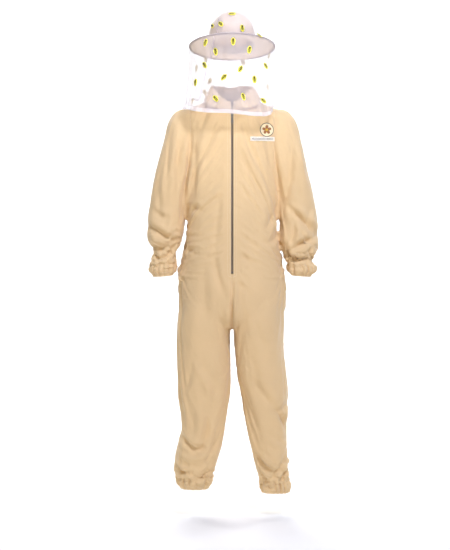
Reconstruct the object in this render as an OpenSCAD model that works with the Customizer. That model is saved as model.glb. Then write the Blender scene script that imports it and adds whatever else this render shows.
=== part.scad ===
// A beekeeping suit as it is worn: a one-piece coverall with a shirt collar, a front zip and
// elastic cuffs, and a wide-brimmed hat whose sheer veil falls to the shoulders.
// Millimetres, +Z up, front towards -Y, wearer's left towards +X.
// The origin is on the wearer's centre line, at the height where the suit rests on the shoulders.

/* [Coverall] */
// Distance from the centre line to each armhole seam
armhole_x = 172; // [168:1:176]
// Depth of the armhole below the shoulder line
armhole_depth = 250; // [245:1:255]
// Height of the crotch, below the shoulder line
crotch_drop = 845; // [840:1:850]
// Thickness that stands for the cloth
cloth = 2.5; // [2:0.1:3]
// Inner radius of the wrist elastic
wrist_r = 28.8; // [27:0.1:29.5]
// Inner radius of the ankle elastic
ankle_r = 48.5; // [46:0.1:49]

/* [Collar] */
// Height of the collar stand at the side of the neck
stand_h = 43; // [38:1:50]
// Radius of the neck seam
neck_r = 76; // [74:1:77]

/* [Zip] */
// Length of the zip, from the collar seam down
zip_length = 595; // [580:1:620]
// Lean of the zip line away from vertical, in degrees
zip_lean = 4.4; // [4.2:0.1:4.6]
// Gap between the two front edges over the zip
front_gap = 12; // [11:0.5:14]
// Pitch of the zip's teeth on one tape
tooth_pitch = 5; // [4:0.5:6]

/* [Hat] */
// Radius of the brim out to its wire
brim_r = 155; // [150:1:158]
// Height of the crown above the brim
crown_h = 121; // [115:1:130]
// Backward lean of the hat, in degrees
hat_lean = 10; // [8:0.5:12]
// Height of the brim's centre above the shoulder line
hat_z = 250; // [240:1:256]

/* [Hidden] */
$fn = 48;
SIDES = 24;                    // corners of each soft cross-section
ROUNDNESS = 2.4;               // exponent of the soft cross-sections, 2 is an ellipse
EASE = 0.3;                    // space between pieces that move past each other
BIG = 2000;

zip_top = [0, -88, 12];
zip_y = function(z) zip_top[1] - (zip_top[2] - z) * tan(zip_lean);
zip_end = zip_top[2] - zip_length * cos(zip_lean);
neck_y = -7;                   // the neck's centre line
// Height of the neck seam at each turn from the front.
NECK_SEAM = [[0, 14], [20, 25], [45, 37], [90, 52], [135, 60], [180, 63]];

// Cross-sections of the trunk, from the neck down: height, half width, front, back.
TRUNK = [
    [64, 60, -12, 64], [57, 76, -28, 74], [49, 94, -46, 79], [40, 118, -60, 82], [29, 148, -74, 86],
    [18, 176, zip_y(18), 90], [6, 194, zip_y(6), 94], [-22, 202, zip_y(-22), 102],
    [-80, 201, zip_y(-80), 112], [-160, 190, zip_y(-160), 122],
    [-250, 171, zip_y(-250), 120], [-330, 166, zip_y(-330), 112], [-418, 160, zip_y(-418), 108],
    [-480, 168, zip_y(-480), 115], [-565, 184, zip_y(-565), 128], [-650, 188, zip_y(-650), 132],
    [-712, 191, -138, 132], [-790, 188, -134, 120], [-830, 150, -105, 90], [-850, 90, -60, 50]
];

// Cross-sections of a sleeve on the left side: height, centre x, half width, centre y, half depth.
SLEEVE = [
    [22, 170, 14, 8, 20], [12, 175, 26, 8, 36], [-4, 179, 38, 8, 50], [-26, 183, 48, 8, 63],
    [-52, 187, 52, 8, 71], [-94, 194, 54, 8, 79],
    [-153, 208, 56, 8, 84], [-212, 222, 56, 8, 82], [-250, 230, 58, 8, 80], [-330, 240, 61, 8, 73],
    [-390, 243, 65, 4, 70], [-440, 247, 67, -4, 68], [-470, 248, 61, -9, 63], [-500, 250, 50, -14, 55],
    [-522, 252, 47, -19, 50], [-550, 256, 48, -25, 48], [-570, 257, 42, -29, 43], [-583, 256, 36, -32, 36.5],
    [-594, 255, 33, -33, 33]
];

// Cross-sections of the trouser legs, as for the sleeve. The right leg blouses over its ankle.
LEG_LEFT = [
    [-640, 95, 70, -5, 100], [-760, 95, 88, -6, 108], [-860, 97, 91, -7, 110], [-950, 108, 88, -5, 104],
    [-1036, 123, 82, -2, 95], [-1100, 127, 78, 0, 90], [-1154, 131, 74, 2, 86], [-1213, 138, 70, 4, 82],
    [-1301, 150, 62, 4, 74], [-1345, 156, 57, 5, 66], [-1375, 162.5, 56, 6, 59], [-1408, 164, 52.5, 6, 52.5]
];
LEG_RIGHT = [
    [-640, 95, 70, -5, 100], [-760, 96, 88, -6, 108], [-860, 97, 93, -7, 110], [-950, 100, 95, -5, 104],
    [-1036, 103, 93, -2, 96], [-1100, 103, 85, 0, 90], [-1154, 105, 77, 2, 86], [-1213, 116, 78, 4, 84],
    [-1270, 127, 78, 4, 82], [-1310, 133, 75, 4, 78], [-1345, 136, 67, 4, 70], [-1370, 139, 58, 4, 60],
    [-1393, 140, 52.5, 4, 52.5]
];
LEGS = function(side) side > 0 ? LEG_LEFT : LEG_RIGHT;

// Where each soft tube bends. The sleeve bends along a slant from the armpit out to the shoulder.
shoulder_slant = 70;           // slope of that slant, in degrees from level
shoulder_band = 44;            // width of the cloth that bends there
elbow_top = -366;
elbow_bottom = -476;
cuff_top = -535;
knee_top = -975;
knee_bottom = -1125;
ankle_top_rise = 63;           // height of the gathered ankle above its hem
leg_slant = 45.7;              // slope of the leg line from the crotch up to the hip
hip_band = 100;                // width of the cloth that bends at the hip
band_h = 12;                   // height of the elastic bands

CLOTH_COLOUR = "#dcbd8a";
VEIL_COLOUR = [0.96, 0.94, 0.96, 0.4];
STEEL = "#6f7076";

// ---- shared shapes ------------------------------------------------------------------------

// One rounded cross-section at height z. A power of 2 makes it an ellipse.
function section(z, cx, rx, cy, ry, power = ROUNDNESS) = [
    for (i = [0:SIDES - 1])
        let (a = 360 * i / SIDES, c = cos(a), s = sin(a))
        [cx + rx * sign(c) * pow(abs(c), 2 / power), cy + ry * sign(s) * pow(abs(s), 2 / power), z]
];

// Rings of equal length, from the top one down, as one closed solid.
module skin(rings) {
    n = len(rings[0]);
    m = len(rings);
    points = [for (r = rings) each r];
    sides = [
        for (k = [0:m - 2], i = [0:n - 1])
            let (j = (i + 1) % n, a = k * n + i, b = k * n + j, c = a + n, d = b + n)
            each [[a, b, d], [a, d, c]]
    ];
    polyhedron(points, concat([[for (i = [n - 1:-1:0]) i], [for (i = [0:n - 1]) (m - 1) * n + i]], sides));
}

// Rings that are themselves the section of a closed tube, joined round a loop or from end to end.
module tube(rings) {
    n = len(rings[0]);
    m = len(rings);
    points = [for (r = rings) each r];
    sides = [
        for (k = [0:m - 2], i = [0:n - 1])
            let (j = (i + 1) % n, a = k * n + i, b = k * n + j, c = a + n, d = b + n)
            each [[a, d, b], [a, c, d]]
    ];
    polyhedron(points, concat([[for (i = [0:n - 1]) i], [for (i = [n - 1:-1:0]) (m - 1) * n + i]], sides));
}

// Stations [z, cx, rx, cy, ry] moved inwards by inset along the wall's own slope.
function inset_station(list, k, inset) =
    let (
        here = list[k],
        up = list[max(k - 1, 0)],
        down = list[min(k + 1, len(list) - 1)],
        rise = up[0] - down[0],
        spread = (up[2] + up[4] - down[2] - down[4]) / 2,
        size = norm([rise, spread])
    )
    [here[0] + inset * spread / size, here[1], here[2] - inset * rise / size, here[3], here[4] - inset * rise / size];

module loft(list, inset = 0, open_by = 0) {
    stations = [for (k = [0:len(list) - 1]) inset_station(list, k, inset)];
    last = stations[len(stations) - 1];
    tail = open_by > 0 ? [[last[0] - open_by, last[1], last[2], last[3], last[4]]] : [];
    skin([for (s = concat(stations, tail)) section(s[0], s[1], s[2], s[3], s[4])]);
}

module on_side(side) {
    if (side > 0) children();
    else mirror([1, 0, 0]) children();
}

// Everything between two heights.
module between(low, high) {
    translate([-BIG / 2, -BIG / 2, low]) cube([BIG, BIG, high - low]);
}

// Everything on the +X side of x.
module beyond(x) {
    translate([x, -BIG / 2, -BIG]) cube([BIG, BIG, 2 * BIG]);
}

// Everything past a plane through (x, z) that leans slant degrees from level, offset along its normal.
module past(x, z, slant, offset) {
    translate([x, 0, z]) rotate([0, 90 - slant, 0]) translate([offset, -BIG / 2, -BIG / 2])
        cube([BIG, BIG, BIG]);
}

// Soft solids are plain facets, so each is settled as a single mesh.
module soft() {
    resize([0, 0, 0]) children();
}

// ---- the coverall's shell -----------------------------------------------------------------

function as_stations(list) = [for (s = list) [s[0], 0, s[1], (s[2] + s[3]) / 2, (s[3] - s[2]) / 2]];

module trunk(inset) loft(as_stations(TRUNK), inset);
module sleeve(side, inset) on_side(side) loft(SLEEVE, inset, inset > 0 ? 20 : 0);
module leg(side, inset) on_side(side) loft(LEGS(side), inset, inset > 0 ? 20 : 0);

// The cloth's outer face with inset 0, and its inner face with inset cloth.
module upper(inset) {
    trunk(inset);
    for (side = [-1, 1]) sleeve(side, inset);
}

module lower(inset) {
    trunk(inset);
    for (side = [-1, 1]) leg(side, inset);
}

// What the neck opening takes out of the trunk's cloth.
module neck_hole() {
    r = neck_r + 3;
    translate([0, neck_y, 5]) scale([1, (r + 2) / r, 1]) cylinder(r = r, h = BIG);
}

// The part of a leg past its slanting line from the crotch to the hip, and offset further down it.
module past_leg_line(side, offset) {
    on_side(side) past(0, -crotch_drop, leg_slant, offset);
}

// The part of a sleeve past the slanting line from the armpit, and offset further out.
module past_armpit_line(side, offset) {
    on_side(side) past(armhole_x, -armhole_depth, shoulder_slant, offset);
}

// The trunk's cloth, from the neck seam to the leg lines and out to the armholes.
module trunk_cloth() {
    difference() {
        union() {
            intersection() {
                upper(0);
                translate([-armhole_x, -BIG / 2, -armhole_depth])
                    cube([2 * armhole_x, BIG, BIG]);
            }
            intersection() {
                lower(0);
                between(-BIG, -armhole_depth);
            }
        }
        upper(cloth);
        lower(cloth);
        neck_hole();
        for (side = [-1, 1]) past_leg_line(side, 0);
    }
}

module front_panel(side) {
    soft() difference() {
        intersection() {
            trunk_cloth();
            on_side(side) translate([0, -BIG, -BIG]) cube([BIG, BIG, 2 * BIG]);
        }
        translate([-front_gap / 2, -BIG, zip_end]) cube([front_gap, BIG, BIG]);
    }
}

module back_panel(side) {
    soft() intersection() {
        trunk_cloth();
        on_side(side) translate([0, 0, -BIG]) cube([BIG, BIG, 2 * BIG]);
    }
}

// The cloth of a sleeve outside its armhole, between two heights.
module sleeve_cloth(side, low, high) {
    intersection() {
        difference() {
            upper(0);
            upper(cloth);
        }
        on_side(side) beyond(armhole_x + EASE);
        between(low, high);
        if (high < -armhole_depth) sleeve(side, -1);
        else between(-BIG, BIG);
    }
}

module shoulder(side) {
    soft() difference() {
        sleeve_cloth(side, elbow_top + EASE, BIG);
        past_armpit_line(side, shoulder_band);
    }
}

module upper_sleeve(side) {
    soft() intersection() {
        sleeve_cloth(side, elbow_top + EASE, 0);
        past_armpit_line(side, shoulder_band + EASE);
    }
}

module leg_shell() {
    difference() {
        lower(0);
        lower(cloth);
    }
}

module hip(side) {
    soft() intersection() {
        leg_shell();
        difference() {
            past_leg_line(side, EASE);
            past_leg_line(side, hip_band);
        }
        between(knee_top + EASE, 0);
        on_side(side) beyond(0);
    }
}

module thigh(side) {
    soft() intersection() {
        leg_shell();
        past_leg_line(side, hip_band + EASE);
        between(knee_top + EASE, 0);
        on_side(side) beyond(0);
    }
}

module leg_cloth(side, low, high) {
    soft() intersection() {
        difference() {
            leg(side, 0);
            leg(side, cloth);
        }
        between(low, high);
    }
}

function hem(side) = let (list = LEGS(side)) list[len(list) - 1];
function wrist() = SLEEVE[len(SLEEVE) - 1];

// An elastic band sewn inside a hem, as a true ring.
module elastic(x, y, z, inner, outer) {
    color("white") translate([x, y, z]) difference() {
        cylinder(r = outer, h = band_h);
        translate([0, 0, -1]) cylinder(r = inner, h = band_h + 2);
    }
}

module cuff_elastic(side) {
    w = wrist();
    elastic(side * w[1], w[3], w[0] + 2, wrist_r, w[2] - cloth - 0.2);
}

module ankle_elastic(side) {
    h = hem(side);
    elastic(side * h[1], h[3], h[0] + 2, ankle_r, h[2] - cloth - 0.2);
}

// A flat pocket bag hanging inside the side seam.
module pocket_bag(side) {
    color("#e6d2ad") soft() intersection() {
        difference() {
            trunk(cloth + 1);
            trunk(cloth + 3.5);
        }
        on_side(side) translate([90, -BIG, -700]) cube([BIG, BIG - 15, 170]);
    }
}

// ---- collar -------------------------------------------------------------------------------

COLLAR_STEPS = 36;
// Outer edge of the fall for the left half: angle round the neck from the front, x, y, z.
COLLAR_EDGE = [
    [6, 9, -97, 10], [22, 46, -98, 16], [40, 84, -88, 24], [52, 97, -66, 40],
    [90, 106, -4, 56], [135, 90, 68, 60], [180, 0, 106, 66]
];
function blend_edge(a) = [for (k = [1:3]) lookup(a, [for (p = COLLAR_EDGE) [p[0], p[k]]])];
function about_centre(turn) = let (a = abs(turn), s = sign(turn), p = blend_edge(a)) [s * p[0], p[1], p[2]];
// The wearer's neck as seen from above, at a turn from the front.
function round_neck(turn, r) = [r * sin(turn), neck_y - (r + 2) * cos(turn)];
function seam_z(turn) = lookup(abs(turn), NECK_SEAM);
function stand_rise(turn) = stand_h * pow(sin(min(abs(turn), 90)), 0.8) + 4;
collar_turns = [for (i = [0:COLLAR_STEPS]) -174 + 348 * i / COLLAR_STEPS];

module collar_stand() {
    color(CLOTH_COLOUR) soft() tube([
        for (t = collar_turns)
            let (
                turn = t > 0 ? 180 - t : -180 - t,
                out = round_neck(turn, neck_r),
                inn = round_neck(turn, neck_r - cloth),
                top_out = round_neck(turn, neck_r - 5),
                top_in = round_neck(turn, neck_r - 5 - cloth),
                base = seam_z(turn) + EASE,
                top = base + stand_rise(turn)
            )
            [[inn[0], inn[1], base], [out[0], out[1], base], [top_out[0], top_out[1], top], [top_in[0], top_in[1], top]]
    ]);
}

module collar_fall() {
    color(CLOTH_COLOUR) soft() tube([
        for (t = collar_turns)
            let (
                turn = t > 0 ? 180 - t : -180 - t,
                fold = round_neck(turn, neck_r - 4.2),
                edge = about_centre(turn),
                base = seam_z(turn) + EASE,
                top = base + stand_rise(turn) + 0.5,
                lift = 2
            )
            [
                [fold[0], fold[1], top], [edge[0], edge[1], edge[2]],
                [edge[0] + lift * sin(turn), edge[1] - lift * cos(turn), edge[2] + lift],
                [fold[0] + lift * sin(turn), fold[1] - lift * cos(turn), top + lift]
            ]
    ]);
}

// ---- zip ----------------------------------------------------------------------------------

tape_w = 15;
tape_t = 0.8;
tape_y = 3.6;                  // depth of the tape's face behind the front's outer face
tooth_w = 2.4;
tooth_t = 2.3;
split = 0.8;                   // half the slot that the slider's post runs in
slider_w = 9.2;
slider_l = 12;
slider_drop = 20;              // how far below the zip's top the slider stands when closed
plate = 1.4;
pin_r = 0.7;
pin_y = -2.9;

// The zip's own frame: z runs up the closed teeth and y runs into the suit.
module zip_frame() {
    translate(zip_top) rotate([-zip_lean, 0, 0]) children();
}

module zip_tape(side) {
    color("#8b8078") zip_frame() on_side(side)
        translate([split, tape_y, -zip_length]) cube([tape_w, tape_t, zip_length - 4]);
}

// A comb of teeth on the tape's inner edge, as one strip.
module zip_teeth(side) {
    count = floor((zip_length - 24) / tooth_pitch);
    shift = side > 0 ? 0 : tooth_pitch / 2;
    outline = concat(
        [[split + tooth_w, 0], [split + tooth_w, count * tooth_pitch]],
        [
            for (k = [count - 1:-1:0])
                each [
                    [split + tooth_w - 0.9, (k + 0.9) * tooth_pitch],
                    [split, (k + 0.5) * tooth_pitch],
                    [split + tooth_w - 0.9, (k + 0.1) * tooth_pitch]
                ]
        ]
    );
    color(STEEL) zip_frame() on_side(side)
        translate([0, tape_y - 0.1, -zip_length + 12 - shift / 2]) rotate([90, 0, 0])
            linear_extrude(height = tooth_t) polygon(outline);
}

module zip_top_stops() {
    color(STEEL) zip_frame() for (side = [-1, 1]) on_side(side)
        translate([split, tape_y - 2.5, -9]) cube([2.6, 2.4, 3]);
}

module zip_bottom_stop() {
    color(STEEL) zip_frame() translate([-3.4, tape_y - 2.5, -zip_length + 5]) cube([6.8, 2.4, 4]);
}

// Two plates joined by a post that runs in the slot, with rims round the teeth and a bridge in front.
module zip_slider() {
    front = 0.8;
    back = tape_y + tape_t + 0.4;
    color(STEEL) zip_frame() translate([0, 0, -slider_drop]) union() {
        for (y = [front - plate, back])
            translate([-slider_w / 2, y, -slider_l / 2]) cube([slider_w, plate, slider_l]);
        translate([-0.5, front - 0.5, slider_l / 2 - 3]) cube([1, back - front + 1, 3]);
        for (side = [-1, 1]) on_side(side)
            translate([slider_w / 2 - 0.9, front - 0.5, -slider_l / 2]) cube([0.9, 2.7, slider_l]);
        translate([-1.2, pin_y - pin_r - 1.4, -3.6]) cube([2.4, 1.1, 7.2]);
        for (z = [-3.6, 2.4])
            translate([-1.2, pin_y - pin_r - 0.5, z]) cube([2.4, front - plate - pin_y + pin_r + 1, 1.2]);
    }
}

module zip_pull() {
    color(STEEL) zip_frame() translate([0, pin_y, -slider_drop]) union() {
        rotate([0, 90, 0]) cylinder(r = pin_r, h = 7.2, center = true);
        for (side = [-1, 1]) on_side(side) translate([2.2, -pin_r, -10]) cube([1.4, 2 * pin_r, 10]);
        translate([-3.6, -pin_r, -12.5]) cube([7.2, 2 * pin_r, 3]);
        difference() {
            hull() {
                translate([0, pin_r, -14]) rotate([90, 0, 0]) cylinder(r = 3.6, h = 2 * pin_r, $fn = 32);
                translate([0, pin_r, -28]) rotate([90, 0, 0]) cylinder(r = 4.6, h = 2 * pin_r, $fn = 32);
            }
            translate([0, pin_r + 1, -28]) rotate([90, 0, 0]) cylinder(r = 2.2, h = 2 * pin_r + 2);
        }
    }
}

// ---- chest patch and label ----------------------------------------------------------------

patch_at = [125, -61];         // x and z of the patch's centre
patch_r = 24;
patch_t = 1.5;
petal_t = 1;
label_size = [88, 15];
label_at = [110, -94];         // x and z of the label's centre

// What is sewn on the chest follows its curve, between two distances from the cloth's outer face.
module on_chest(centre, from, to) {
    soft() intersection() {
        difference() {
            trunk(-to);
            trunk(-from);
        }
        translate([centre[0], 0, centre[1]]) rotate([90, 0, 0]) children();
    }
}

module chest_patch() {
    color("#f3e3b8") on_chest(patch_at, 0, patch_t) cylinder(r = patch_r, h = BIG, $fn = 32);
}

// A plain five-petalled flower, in raised thread.
module patch_flower() {
    color("#8a5a2b") on_chest(patch_at, patch_t, patch_t + petal_t) {
        union() {
            cylinder(r = 3.6, h = BIG, $fn = 12);
            for (k = [0:4]) rotate(90 + 72 * k) translate([10, 0, 0]) cylinder(r = 5, h = BIG, $fn = 12);
        }
    }
}

module chest_label() {
    color("#c98f1e") on_chest(label_at, 0, patch_t / 2)
        translate([-label_size[0] / 2, -label_size[1] / 2, 0]) cube([label_size[0], label_size[1], BIG]);
}

// ---- hat and veil -------------------------------------------------------------------------

felt = 2;
// Crown sections above the brim: height as a share of the crown's, half width, half depth.
CROWN = [
    [1, 10, 13], [0.95, 32, 40], [0.84, 52, 65], [0.68, 68, 83], [0.48, 79, 95], [0.24, 83, 100], [0, 84, 101]
];
crown_base = CROWN[len(CROWN) - 1];
binding_r = 3.2;
wire_r = 1.2;
brim_drop = 5;                 // how far the brim dips from the crown to its wire
veil_t = 1;

module hat_frame() {
    translate([0, -2, hat_z]) rotate([-hat_lean, 0, 0]) children();
}

module crown_shape(grow) {
    skin([
        for (s = CROWN)
            let (rise = s[0] == 1 ? grow : 0)
            section(s[0] * crown_h + rise, 0, s[1] + grow, 0, s[2] + grow)
    ]);
}

module hat_crown() {
    color(CLOTH_COLOUR) hat_frame() soft() difference() {
        crown_shape(0);
        crown_shape(-felt);
        translate([-BIG / 2, -BIG / 2, -BIG + 0.1]) cube([BIG, BIG, BIG]);
    }
}

module hat_brim() {
    reach = brim_r - binding_r - EASE;
    inner = section(0, 0, crown_base[1] + EASE, 0, crown_base[2] + EASE);
    outer = section(-brim_drop, 0, reach, 0, reach, 2);
    up = [0, 0, felt];
    color(CLOTH_COLOUR) hat_frame() soft() loop_of([
        for (i = [0:SIDES - 1]) [inner[i], outer[i], outer[i] + up, inner[i] + up]
    ]);
}

// Closed sections joined into a ring.
module loop_of(rings) {
    n = len(rings[0]);
    m = len(rings);
    polyhedron(
        [for (r = rings) each r],
        [
            for (k = [0:m - 1], i = [0:n - 1])
                let (j = (i + 1) % n, l = (k + 1) % m, a = k * n + i, b = k * n + j, c = l * n + i, d = l * n + j)
                each [[a, b, d], [a, d, c]]
        ]
    );
}

module brim_wire() {
    color(STEEL) hat_frame() translate([0, 0, -brim_drop]) rotate_extrude()
        translate([brim_r, 0]) circle(r = wire_r);
}

module brim_binding() {
    color("#a8794a") hat_frame() translate([0, 0, -brim_drop]) rotate_extrude()
        translate([brim_r, 0]) difference() {
            circle(r = binding_r);
            circle(r = wire_r + 0.2);
        }
}

module hat_sweatband() {
    band = [28, 1.8, felt + 0.4];   // height, thickness, gap that the crown's cloth takes
    w = crown_base[1] - band[2] - 1.5;
    d = crown_base[2] - band[2] - 1.5;
    color("#4a3a30") hat_frame() soft() difference() {
        skin([section(band[0], 0, w, 0, d), section(1, 0, w, 0, d)]);
        skin([section(band[0] + 1, 0, w - band[1], 0, d - band[1]), section(0, 0, w - band[1], 0, d - band[1])]);
    }
}

module hat_button() {
    color(CLOTH_COLOUR) hat_frame() translate([0, 0, crown_h + 0.2]) cylinder(r1 = 8, r2 = 6, h = 2.4);
}

// Cloth draped over the crown and out over the brim to its edge: height, half width, half depth, power.
veil_gap = 4;
veil_r = brim_r + binding_r + 2.2;
VEIL_TOP = concat(
    [[crown_h + 5, 14, 17, ROUNDNESS]],
    [for (k = [1:5]) [CROWN[k][0] * crown_h + veil_gap, CROWN[k][1] + veil_gap, CROWN[k][2] + veil_gap, ROUNDNESS]],
    [[8, 92, 108, ROUNDNESS], [binding_r - brim_drop + 3.3, brim_r + 1.5, brim_r + 1.5, 2], [-brim_drop, veil_r, veil_r, 2]]
);

module veil_top() {
    color(VEIL_COLOUR) hat_frame() soft() difference() {
        skin([for (p = VEIL_TOP) section(p[0] + veil_t, 0, p[1] + veil_t, 0, p[2] + veil_t, p[3])]);
        skin(concat(
            [for (p = VEIL_TOP) section(p[0], 0, p[1], 0, p[2], p[3])],
            [section(-brim_drop - 10, 0, veil_r, 0, veil_r, 2)]
        ));
        translate([-BIG / 2, -BIG / 2, -BIG - brim_drop]) cube([BIG, BIG, BIG]);
    }
}

// The curtain's hem, seen from above, lies on the shoulders and is squarer than the brim.
hem_front = -148;
hem_back = 150;
hem_side = 176;
function hem_point(a, out) =
    let (
        c = cos(a),
        s = sin(a),
        x = (hem_side + out) * sign(c) * pow(abs(c), 0.55),
        y = ((hem_back - hem_front) / 2 + out) * sign(s) * pow(abs(s), 0.55) + (hem_back + hem_front) / 2
    )
    [x, y, 24 - 30 * pow(s, 2)];
// A point of the brim's edge in the suit's own frame.
function brim_point(a, out) =
    let (x = (veil_r + out) * cos(a), y = (veil_r + out) * sin(a), z = -brim_drop)
    [x, -2 + y * cos(hat_lean) + z * sin(hat_lean), hat_z - y * sin(hat_lean) + z * cos(hat_lean)];
// share 0 is the brim and 1 the hem: the cloth falls straight and spreads near the shoulders.
function curtain_point(a, share, out) =
    let (top = brim_point(a, out), low = hem_point(a, out), spread = pow(share, 3))
    [top[0] + (low[0] - top[0]) * spread, top[1] + (low[1] - top[1]) * spread, top[2] + (low[2] - top[2]) * share];

module curtain(from, to, steps, out) {
    shares = [for (i = [0:steps]) from + (to - from) * i / steps];
    soft() loop_of([
        for (i = [0:39])
            concat(
                [for (s = shares) curtain_point(9 * i, s, out)],
                [for (k = [steps:-1:0]) curtain_point(9 * i, shares[k], out + veil_t)]
            )
    ]);
}

hem_share = 0.95;
module veil_curtain() {
    color(VEIL_COLOUR) curtain(0.02, hem_share - 0.002, 6, 0);
}

module veil_hem() {
    color(VEIL_COLOUR) curtain(hem_share, 1, 1, -0.4);
}

// Bees fixed to the veil: turn from the front in degrees, share of the way down.
BEES = [
    [-48, 0.35], [-14, 0.16], [18, 0.3], [52, 0.4], [-62, 0.7], [-22, 0.62], [24, 0.55], [66, 0.74],
    [-30, 0.86], [8, 0.84], [38, 0.87], [110, 0.3], [150, 0.6], [190, 0.35], [235, 0.65], [255, 0.25]
];

bee_gap = 2.6;                 // space between a bee and the veil's curve

module veil_bees() {
    color("gold") for (b = BEES)
        translate(curtain_point(b[0] - 90, b[1], veil_t + bee_gap)) rotate([90, 0, b[0]])
            cylinder(r1 = 9, r2 = 6, h = 1.6, $fn = 8);
}

// ---- the nodes ----------------------------------------------------------------------------

color(CLOTH_COLOUR) front_panel(1);  // front_left_panel
color(CLOTH_COLOUR) front_panel(-1);  // front_right_panel
color(CLOTH_COLOUR) back_panel(1);  // back_left_panel
color(CLOTH_COLOUR) back_panel(-1);  // back_right_panel
collar_stand();
collar_fall();
zip_tape(1);  // zip_tape_left
zip_tape(-1);  // zip_tape_right
zip_teeth(1);  // zip_teeth_left
zip_teeth(-1);  // zip_teeth_right
zip_top_stops();
zip_bottom_stop();
zip_slider();
zip_pull();
chest_patch();
patch_flower();
chest_label();

for (side = [-1, 1]) {
    name = side > 0 ? "left" : "right";
    pocket_bag(side);
    color(CLOTH_COLOUR) shoulder(side);
    color(CLOTH_COLOUR) upper_sleeve(side);
    color(CLOTH_COLOUR) soft() sleeve_cloth(side, elbow_bottom, elbow_top);
    color(CLOTH_COLOUR) soft() sleeve_cloth(side, cuff_top, elbow_bottom - EASE);
    color(CLOTH_COLOUR) soft() sleeve_cloth(side, -BIG, cuff_top);
    cuff_elastic(side);
    color(CLOTH_COLOUR) hip(side);
    color(CLOTH_COLOUR) thigh(side);
    color(CLOTH_COLOUR) leg_cloth(side, knee_bottom + EASE, knee_top);
    color(CLOTH_COLOUR) leg_cloth(side, hem(side)[0] + ankle_top_rise, knee_bottom);
    color(CLOTH_COLOUR) leg_cloth(side, -BIG, hem(side)[0] + ankle_top_rise);
    ankle_elastic(side);
}

hat_crown();
hat_brim();
brim_wire();
brim_binding();
hat_sweatband();
hat_button();
veil_top();
veil_curtain();
veil_hem();
veil_bees();
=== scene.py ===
"""A beekeeping suit as it is worn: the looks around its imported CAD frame, in metres, front towards -Y.

The coverall is lofted from its cross-sections, fused into one skin, folded, and then cut along its
seams into the pieces that it is sewn from. The hat, veil, collar, zip and trimmings follow.
"""

import math

import bmesh
import bpy
import numpy as np
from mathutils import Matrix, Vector, noise
from mathutils.bvhtree import BVHTree


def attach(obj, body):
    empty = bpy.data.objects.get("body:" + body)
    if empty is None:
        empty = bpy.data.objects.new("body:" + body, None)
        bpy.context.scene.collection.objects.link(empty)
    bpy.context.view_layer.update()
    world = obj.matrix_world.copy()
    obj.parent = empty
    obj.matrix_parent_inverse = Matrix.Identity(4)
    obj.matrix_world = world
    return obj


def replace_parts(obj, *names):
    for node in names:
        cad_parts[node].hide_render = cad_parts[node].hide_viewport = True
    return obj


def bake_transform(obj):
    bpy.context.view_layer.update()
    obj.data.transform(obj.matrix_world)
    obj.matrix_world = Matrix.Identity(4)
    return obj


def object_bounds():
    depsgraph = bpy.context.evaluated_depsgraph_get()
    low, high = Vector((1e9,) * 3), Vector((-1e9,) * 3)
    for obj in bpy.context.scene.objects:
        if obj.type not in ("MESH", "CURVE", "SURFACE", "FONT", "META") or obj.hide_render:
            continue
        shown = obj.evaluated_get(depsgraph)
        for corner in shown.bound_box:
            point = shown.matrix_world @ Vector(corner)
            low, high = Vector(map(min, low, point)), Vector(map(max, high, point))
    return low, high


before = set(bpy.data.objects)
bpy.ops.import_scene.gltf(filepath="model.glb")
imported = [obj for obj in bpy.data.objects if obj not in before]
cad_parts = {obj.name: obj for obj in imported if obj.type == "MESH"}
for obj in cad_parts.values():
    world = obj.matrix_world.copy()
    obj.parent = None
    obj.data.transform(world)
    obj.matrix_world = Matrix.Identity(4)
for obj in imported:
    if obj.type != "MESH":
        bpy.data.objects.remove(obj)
cad_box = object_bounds()

MM = 0.001
SIDES = ((1, "left"), (-1, "right"))

# ---- camera, floor and lights ---------------------------------------------------------------

CAMERA_AT = Vector((-0.026, -4.2, -0.32))
AIM_AT = Vector((-0.026, 0, -0.593))
VIEW_HEIGHT = 2.046            # height of the picture at the suit's centre plane
SENSOR = 36
FLOOR_DROP = 0.092             # the floor lies a boot's height below the hems


def make_camera():
    data = bpy.data.cameras.new("camera")
    data.sensor_width = SENSOR
    data.lens = SENSOR * (AIM_AT - CAMERA_AT).length / VIEW_HEIGHT
    camera = bpy.data.objects.new("camera", data)
    bpy.context.scene.collection.objects.link(camera)
    camera.location = CAMERA_AT
    camera.rotation_euler = (AIM_AT - CAMERA_AT).to_track_quat("-Z", "Y").to_euler()
    bpy.context.scene.camera = camera


def area_light(name, at, aim, size, power, colour=(1, 1, 1), spread=180):
    data = bpy.data.lights.new(name, "AREA")
    data.shape = "RECTANGLE"
    data.size, data.size_y = size
    data.energy, data.color, data.spread = power, colour, math.radians(spread)
    light = bpy.data.objects.new(name, data)
    bpy.context.scene.collection.objects.link(light)
    light.location = at
    light.rotation_euler = (Vector(aim) - Vector(at)).to_track_quat("-Z", "Y").to_euler()
    light.visible_camera = False


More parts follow.
